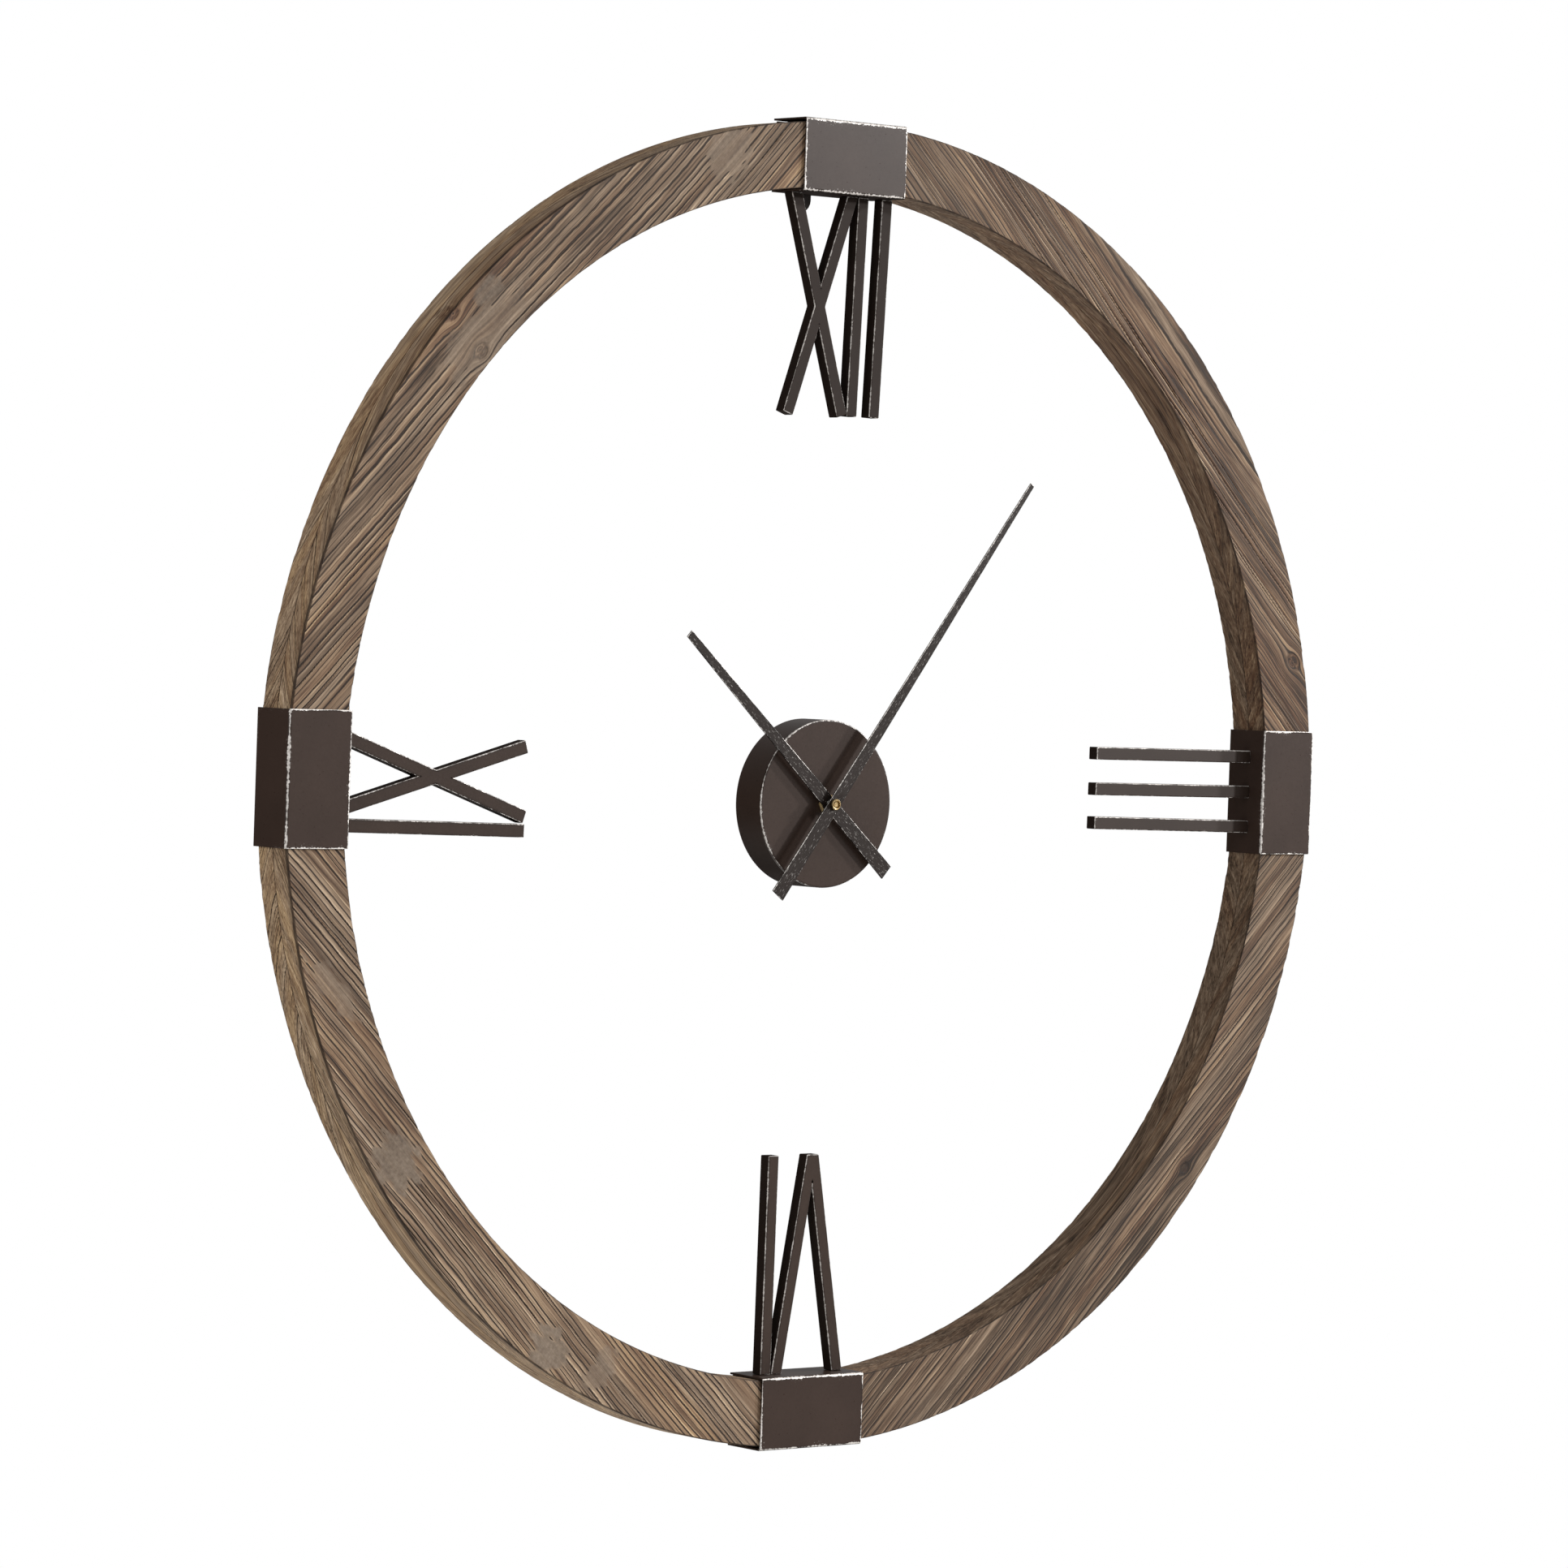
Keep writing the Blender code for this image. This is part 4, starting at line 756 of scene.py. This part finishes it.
def refined(node, name, material, body="root", round_off=0.25, cuts=(), behind=1.2, plain=False,
            brushed=None):
    """A CAD shape with its edges rounded, cut finely enough to mark how near a worn edge is."""
    bm = bmesh.new()
    bm.from_mesh(frame["nodes"][node].data)
    bmesh.ops.remove_doubles(bm, verts=bm.verts, dist=1e-6)
    bmesh.ops.dissolve_limit(bm, angle_limit=math.radians(1), verts=bm.verts, edges=bm.edges)
    edges = [e for e in bm.edges if len(e.link_faces) == 2
             and e.calc_face_angle(0) > math.radians(20)]
    marks, delays = worn_edges(bm, [] if plain else edges, behind)
    bmesh.ops.bevel(bm, geom=edges, offset=round_off * MM, segments=2, profile=0.6,
                    affect="EDGES", clamp_overlap=True)
    for origin, direction, offsets in cuts:
        for offset in offsets:
            geom = bm.verts[:] + bm.edges[:] + bm.faces[:]
            bmesh.ops.bisect_plane(bm, geom=geom, dist=1e-7, plane_no=direction,
                                   plane_co=Vector(origin) + Vector(direction) * offset * MM)
    mesh = bpy.data.meshes.new(name)
    bm.to_mesh(mesh)
    bm.free()
    points = read_vertices(mesh)
    set_attribute(mesh, "edge", edge_distance(points, marks, delays))
    # painted shade on faces turned down
    set_attribute(mesh, "painted_shade", painted_shade_below(read_vertices(mesh, "normal")[:, 2]))
    if brushed is not None:
        x, y, z = points.T
        set_attribute(mesh, "rub", np.stack([x * brushed[0] + z * brushed[1], y,
                                             z * brushed[0] - x * brushed[1]], axis=1))
    return finish_piece(name, mesh, material, body, [node])


def sleeve_cuts(node):
    """Cuts across, along and into a sleeve, closest together near its edges."""
    low, high = (Vector(corner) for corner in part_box(node))
    cuts = []
    for axis in range(3):
        half = (high[axis] - low[axis]) / 2 / MM
        direction = [0.0, 0.0, 0.0]
        direction[axis] = 1.0
        offsets = [side * (half - inset) for side in (-1, 1) for inset in GRADED]
        offsets += list(np.linspace(8 - half, half - 8, 5))
        cuts.append((tuple((low + high) / 2), tuple(direction), offsets))
    return cuts


# ------------ numeral bars

HOURS = {"twelve": 0.0, "three": 90.0, "six": 180.0, "nine": 270.0}
# Painted shade: how much darker and duller the bars are in front than their paint, as they face little
# light
FRONT_PAINTED_SHADE = {"twelve": 0.75, "three": 0.40, "six": 0.0, "nine": 0.0}
NUMERALS = {  # shape, hour, CAD bars
    "twelve_cross": ("cross", "twelve", ["twelve_x_falling", "twelve_x_rising"]),
    "twelve_first": ("bar", "twelve", ["twelve_bar_inner"]),
    "twelve_second": ("bar", "twelve", ["twelve_bar_outer"]),
    "three_top": ("bar", "three", ["three_bar_upper"]),
    "three_middle": ("bar", "three", ["three_bar_middle"]),
    "three_bottom": ("bar", "three", ["three_bar_lower"]),
    "six_one": ("bar", "six", ["six_bar"]),
    "six_five": ("vee", "six", ["six_v_left", "six_v_right"]),
    "nine_cross": ("cross", "nine", ["nine_x_falling", "nine_x_rising"]),
    "nine_one": ("bar", "nine", ["nine_bar"]),
}


FLAT_TURN = 2e-7  # square metres: corners flatter than this are left out


def hull(points):
    """Convex outline of points on a plane, anticlockwise."""
    points = sorted(set(map(tuple, np.round(points, 7))))

    def turn(a, b, c):
        return (b[0] - a[0]) * (c[1] - a[1]) - (b[1] - a[1]) * (c[0] - a[0])

    def half(order):
        chain = []
        for p in order:
            while len(chain) > 1 and turn(*chain[-2:], p) <= FLAT_TURN:
                chain.pop()
            chain.append(p)
        return chain[:-1]

    return np.array(half(points) + half(points[::-1]))


def crossing(first, second):
    """Where two lines, each given by two points, meet."""
    (p, q), (r, s) = first, second
    a, b = q - p, s - r
    t = ((r[0] - p[0]) * b[1] - (r[1] - p[1]) * b[0]) / (a[0] * b[1] - a[1] * b[0])
    return p + t * a


def longest_edges(points):
    """The edges of the points' outline as pairs of ends, the longest first."""
    outline = hull(points)
    return sorted(zip(outline, np.roll(outline, -1, axis=0)), key=lambda e: -np.linalg.norm(e[1] - e[0]))


SHORTEST_END = 2 * MM  # a shorter edge isn't a bar's end


def long_sides(node, degrees):
    """A bar's left and right edges and its foot and tip lines, with the hour turned upright."""
    points = cad_points(node)
    edges = longest_edges(np.stack(turned(points[:, 0], points[:, 2], -degrees), axis=1))
    left, right = sorted(edges[:2], key=lambda e: (e[0][0] + e[1][0]))
    ends = sorted((e for e in edges[2:] if np.linalg.norm(e[1] - e[0]) > SHORTEST_END),
                  key=lambda e: -(e[0][1] + e[1][1]))
    return left, right, ends[0], ends[-1]


def numeral_outline(shape, hour, nodes):
    """Corners of a numeral's front face in true position, in millimetres and anticlockwise."""
    degrees = HOURS[hour]
    sides = [long_sides(node, degrees) for node in nodes]
    left, right, foot, tip = sides[0]  # all feet of one numeral lie on one line
    if shape == "bar":
        meeting = [(left, foot), (right, foot), (right, tip), (left, tip)]
    elif shape == "cross":
        left2, right2, foot, tip2 = sides[1]
        meeting = [(left, foot), (right, foot), (right, left2), (left2, foot), (right2, foot),
                   (right2, right), (right, tip), (left, tip), (left, right2), (right2, tip2),
                   (left2, tip2), (left2, left)]
    else:
        # upside down at six: the legs' feet are apart and their tips run together
        if sides[0][0][0][0] + sides[0][0][1][0] > sides[1][0][0][0] + sides[1][0][1][0]:
            sides = sides[::-1]
        left, right, foot, tip = sides[0]
        left2, right2 = sides[1][:2]
        meeting = [(left, foot), (right, foot), (right, left2), (left2, foot), (right2, foot),
                   (right2, tip), (left, tip)]
    x, z = turned(*np.array([crossing(*pair) for pair in meeting]).T, degrees)
    anticlockwise = np.sum(x * np.roll(z, -1) - np.roll(x, -1) * z) > 0
    return np.stack([x, z], axis=1)[::1 if anticlockwise else -1] / MM


def inset_corners(corners, inset):
    """The outline moved inwards by that much, for corners in anticlockwise order."""
    lines = []
    for p, q in zip(corners, np.roll(corners, -1, axis=0)):
        along = (q - p) / np.linalg.norm(q - p)
        inward = np.array([-along[1], along[0]])
        lines.append((p + inward * inset, q + inward * inset))
    return np.array([crossing(lines[k - 1], lines[k]) for k in range(len(lines))])


EASE, NIP = 0.6, 0.35  # millimetres: rounding of the arrises, of the corners
BAR_STEP = 2.5  # millimetres between points along a bar
WORN_INSET, BACK_DELAY = 0.18, 0.35  # where the arris is most worn; how much less behind


def quarter_arc(size):
    """Points of a rounded arris from front to side, as distances in from the side and the front."""
    turns = np.radians([0, 22, 45, 68, 90])
    return [(size - size * math.sin(a), size - size * math.cos(a)) for a in turns]


def bar_profile(depth):
    """From the middle of the front over the side to the back: (inset, depth) in millimetres."""
    arc = quarter_arc(EASE)
    front = [(inset, 0.0) for inset in (3.7, 2.8, 1.9, 1.3, 0.9)] + arc
    side = [(0.0, d) for d in (1.0, 1.6, 2.6, depth / 2, depth - 2.0, depth - 1.2)]
    back = [(inset, depth - d) for inset, d in arc[::-1]] + [(inset, depth) for inset in (1.3, 2.4, 3.7)]
    return front + side + back


def numeral(name, shape, hour, nodes, material):
    """Square bar welded and ground flush where two bars meet, with softly rounded arrises."""
    corners = numeral_outline(shape, hour, nodes)
    following = np.roll(corners, -1, axis=0)
    front, back = (value / MM for value in (min(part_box(n)[0][1] for n in nodes),
                                            max(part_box(n)[1][1] for n in nodes)))
    depth = back - front
    runs, delays = [], []
    for p, q in zip(corners, following):
        length = np.linalg.norm(q - p)
        along = (q - p) / length
        runs.append(max(2, int(length / BAR_STEP)))
        delays += [wear_delay((along[1], 0, -along[0]))] * runs[-1]
    delays = np.array(delays)
    verts, near, painted_shade = [], [], []
    for inset, in_from in bar_profile(depth):
        ring = inset_corners(corners, inset)
        loop = []
        for p, q, steps in zip(ring, np.roll(ring, -1, axis=0), runs):
            start = min(NIP / np.linalg.norm(q - p), 0.2) if inset < 1.0 else 0.04
            loop += [p + (q - p) * t for t in np.linspace(start, 1 - start, steps)]
        loop = np.array(loop)
        verts.append(np.column_stack([loop[:, 0], np.full(len(loop), front + in_from), loop[:, 1]]))
        from_side = max(inset - WORN_INSET, 0)
        from_front = math.hypot(from_side, max(in_from - WORN_INSET, 0))
        from_back = math.hypot(from_side, max(depth - in_from - WORN_INSET, 0)) + BACK_DELAY
        near.append(min(from_front, from_back) + delays)
        # painted shade: the sides and back dark and dull, the front as much as its hour gives
        painted_shade.append(np.full(len(loop), 1.0 if in_from > EASE else FRONT_PAINTED_SHADE[hour]))
    rings, around = len(verts), len(delays)
    faces = loop_faces(rings, around)
    faces += [list(range(around)), list(range((rings - 1) * around, rings * around))[::-1]]
    return add_piece(name, np.concatenate(verts) * MM, faces, material, "root", nodes,
                     {"edge": np.concatenate(near), "painted_shade": np.concatenate(painted_shade)}, face_outward=True)


OFF_MIDDLE = 0.02  # millimetres, so that the cut misses the corners


def hand_cuts(node):
    """Cuts beside a hand's two long edges, across it and down its middle, and the way it points."""
    edges = longest_edges(cad_points(node)[:, [0, 2]])
    cuts = []
    for p, q in edges[:2]:
        along = (q - p) / np.linalg.norm(q - p)
        inward = (-along[1], 0.0, along[0])
        cuts.append(((p[0], 0.0, p[1]), inward, (0.3, 0.7, 1.2)))
    tail, tip = (edges[0][0] + edges[1][1]) / 2, (edges[0][1] + edges[1][0]) / 2
    along = (tip - tail) / np.linalg.norm(tip - tail)
    half = np.linalg.norm(tip - tail) / 2 / MM
    steps = [end * (half - inset) for end in (-1, 1) for inset in (0.3, 1.0, 2.2)]
    steps += list(np.arange(8 - half, half - 6, 9.0))
    middle = tuple(np.insert((tip + tail) / 2, 1, 0.0))
    cuts.append((middle, (along[0], 0.0, along[1]), steps))
    cuts.append((middle, (-along[1], 0.0, along[0]), (OFF_MIDDLE,)))
    return cuts, along


def metalwork(paint, bar_paint, hand_paint):
    for hour in HOURS:
        node = f"sleeve_{hour}"
        refined(node, f"folded_{node}", paint, round_off=0.22, cuts=sleeve_cuts(node))
    for name, (shape, hour, nodes) in NUMERALS.items():
        numeral(f"numeral_{name}", shape, hour, nodes, bar_paint)
    for node, body in (("hour_hand", "hour_motion"), ("minute_hand", "minute_motion")):
        cuts, along = hand_cuts(node)
        refined(node, f"tapered_{node}", hand_paint, body, 0.10, cuts,
                behind=0.4, brushed=along)


def hub_axis():
    low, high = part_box("hub_cup")
    return np.array([(low[0] + high[0]) / 2, 0.0, (low[2] + high[2]) / 2])


def revolved(name, profile, steps, material, body, nodes, worn=None, delay=None, wobble=None,
             smooth=SMOOTH):
    """A turned piece about the hub's axis from a closed (radius, y) profile in millimetres."""
    angle = (2 * np.pi * np.arange(steps) / steps)[:, None]
    radius, y = np.array(profile, float).T[:, None, :]
    near = np.full(radius.shape, UNWORN)
    if worn:
        near = np.hypot(radius - worn[0], y - worn[1]) + delay(angle)
    # painted shade on the cup's sides where they turn down
    painted_shade = painted_shade_below(np.cos(angle)) * (y > y.min() + 2)
    out = radius + (wobble(angle, radius) if wobble else 0)
    verts = np.stack(np.broadcast_arrays(out * np.sin(angle), y, out * np.cos(angle)), -1)
    attributes = {"edge": (near + 0 * angle).ravel(), "painted_shade": painted_shade.ravel()}
    faces = loop_faces(steps, len(profile), closed_rings=True)
    return add_piece(name, verts.reshape(-1, 3) * MM + hub_axis(), faces, material, body, nodes,
                     attributes, smooth)


def spaced(points, most):
    """A closed profile with no run longer than most."""
    out = []
    for (r0, y0), (r1, y1) in zip(points, points[1:] + points[:1]):
        count = max(1, int(math.hypot(r1 - r0, y1 - y0) / most + 0.99))
        out += [(r0 + (r1 - r0) * i / count, y0 + (y1 - y0) * i / count) for i in range(count)]
    return out


def outer_size(node):
    """A turned piece's radius, front and back in millimetres."""
    low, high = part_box(node)
    return (high[0] - low[0]) / 2 / MM, low[1] / MM, high[1] / MM


def hub(paint):
    """The spun cup: a flat face, a small rolled rim and a rolled-in back edge."""
    outer, front, back = outer_size("hub_cup")
    spread = (cad_points("hub_cup") - hub_axis()) / MM
    bore = np.hypot(spread[:, 0], spread[:, 2]).min()
    sheet, rim, beside_rim = 1.2, 0.8, (1.4, 2.2, 3.4)
    inner = outer - sheet
    profile = [(r, front) for r in (bore, 14, 26, 38, 46)]
    profile += [(outer - inset, front) for inset in beside_rim[::-1]]
    profile += [(outer - inset, front + d) for inset, d in quarter_arc(rim)]
    profile += [(outer, front + d) for d in (*beside_rim, 7, 12, 18)]
    profile += [(outer, back - 0.3), (outer - 0.3, back), (inner + 0.2, back), (inner, back - 0.2),
                (inner, front + sheet + 0.4), (inner - 0.4, front + sheet), (bore, front + sheet)]

    def less_worn(angle):
        """The rim is rubbed on the left and the top left only."""
        return 0.55 * np.clip(0.35 + 0.75 * np.sin(angle) - 0.55 * np.cos(angle), 0, 1)

    revolved("spun_hub_cup", profile, 160, paint, "root", ["hub_cup"],
             worn=(outer - 0.25, front + 0.25), delay=less_worn)


def ring_nut(brass):
    """The knurled nut on the minute arbor: a narrow front rim round a deep recess."""
    outer, front, back = outer_size("hand_nut")
    bore, rim, floor_y = 1.7, 2.45, front + 1.25
    profile = spaced([(rim, front + 0.1), (rim + 0.15, front), (outer - 0.45, front),
                      (outer, front + 0.35), (outer, back - 0.3), (outer - 0.3, back), (bore, back),
                      (bore, floor_y), (rim, floor_y)], 0.3)
    knurls, knurl_depth = 30, 0.13

    def knurl(angle, radius):
        return -knurl_depth * (radius > outer - 0.2) * (0.5 + 0.5 * np.cos(knurls * angle))

    revolved("knurled_ring_nut", profile, 240, brass, "minute_motion", ["hand_nut"],
             wobble=knurl, smooth=35.0)


# ------------ building

PLAIN_LOOKS = {  # slot: name, darkest, palest, roughness, metallic
    "zinc_steel": ("zinc_plate", (0.34, 0.34, 0.33), (0.62, 0.62, 0.60), 0.42, 1.0),
    "grey_steel": ("grey_steel", (0.22, 0.22, 0.23), (0.42, 0.42, 0.43), 0.38, 1.0),
    "rubber": ("soft_rubber", (0.012, 0.012, 0.012), (0.026, 0.026, 0.026), 0.85, 0.0),
    "black_plastic": ("moulded_black", (0.014, 0.014, 0.015), (0.030, 0.030, 0.032), 0.46, 0.0),
    "white_plastic": ("moulded_white", (0.66, 0.65, 0.60), (0.80, 0.79, 0.74), 0.42, 0.0),
    "battery_wrap": ("cell_wrap", (0.035, 0.10, 0.045), (0.060, 0.15, 0.075), 0.30, 0.0),
    "board": ("board_green", (0.012, 0.085, 0.030), (0.022, 0.13, 0.050), 0.40, 0.0),
    "copper": ("copper_wire", (0.45, 0.16, 0.06), (0.80, 0.38, 0.20), 0.30, 1.0, (4.0, 0.2, 0.2), 0.6),
    "brass": ("turned_brass", (0.30, 0.19, 0.07), (0.66, 0.50, 0.27), 0.30, 1.0),
}
# painted light: paler, half-metal brass so that the hub nut shows gold in the hands' shadow
HUB_NUT_PAINTED_LIGHT_LOOK = ("brass_with_painted_light", (0.40, 0.27, 0.11), (0.72, 0.56, 0.30), 0.5, 0.5)
STRAP_LOOK = ("painted_strap", (0.026, 0.018, 0.015), (0.046, 0.034, 0.027), 0.42, 0.0)


def dress_cad_nodes(by_slot):
    """Every CAD node gets its slot's material, also where a visual piece stands in for it."""
    strap = metal_material(*STRAP_LOOK)
    for row in frame["record"]["subparts"]:
        node = frame["nodes"][row["node"]]
        look = strap if row["node"].startswith("strap_") else by_slot[row["material_slot"]]
        node.data.materials.clear()
        node.data.materials.append(look)


def main():
    studio_camera()
    bpy.context.scene.view_settings.view_transform = "Standard"
    surroundings()
    lamps()
    floor()
    timber = timber_material()
    for quarter in TURNS:
        for layer in LAYERS:
            timber_quarter(quarter, layer, timber)
    paint = paint_material("bronze_sheet", wear=1.35)
    bar_paint = paint_material("bronze_bar", BAR_BRONZE, gloss=0.30, wear=0.48)
    hand_paint = paint_material("hand_bronze", HAND_BRONZE, gloss=0.38, wear=0.46, speckle=0.42,
                                mirror=0.13)
    metalwork(paint, bar_paint, hand_paint)
    hub(paint_material("bronze_hub", wear=0.80))
    by_slot = {slot: metal_material(*look) for slot, look in PLAIN_LOOKS.items()}
    by_slot.update(timber=timber, bronze_paint=paint, hand_paint=hand_paint)
    ring_nut(by_slot["brass"])
    refined("hub_nut", "chamfered_hub_nut", metal_material(*HUB_NUT_PAINTED_LIGHT_LOOK), round_off=0.35,
            plain=True)
    dress_cad_nodes(by_slot)


main()
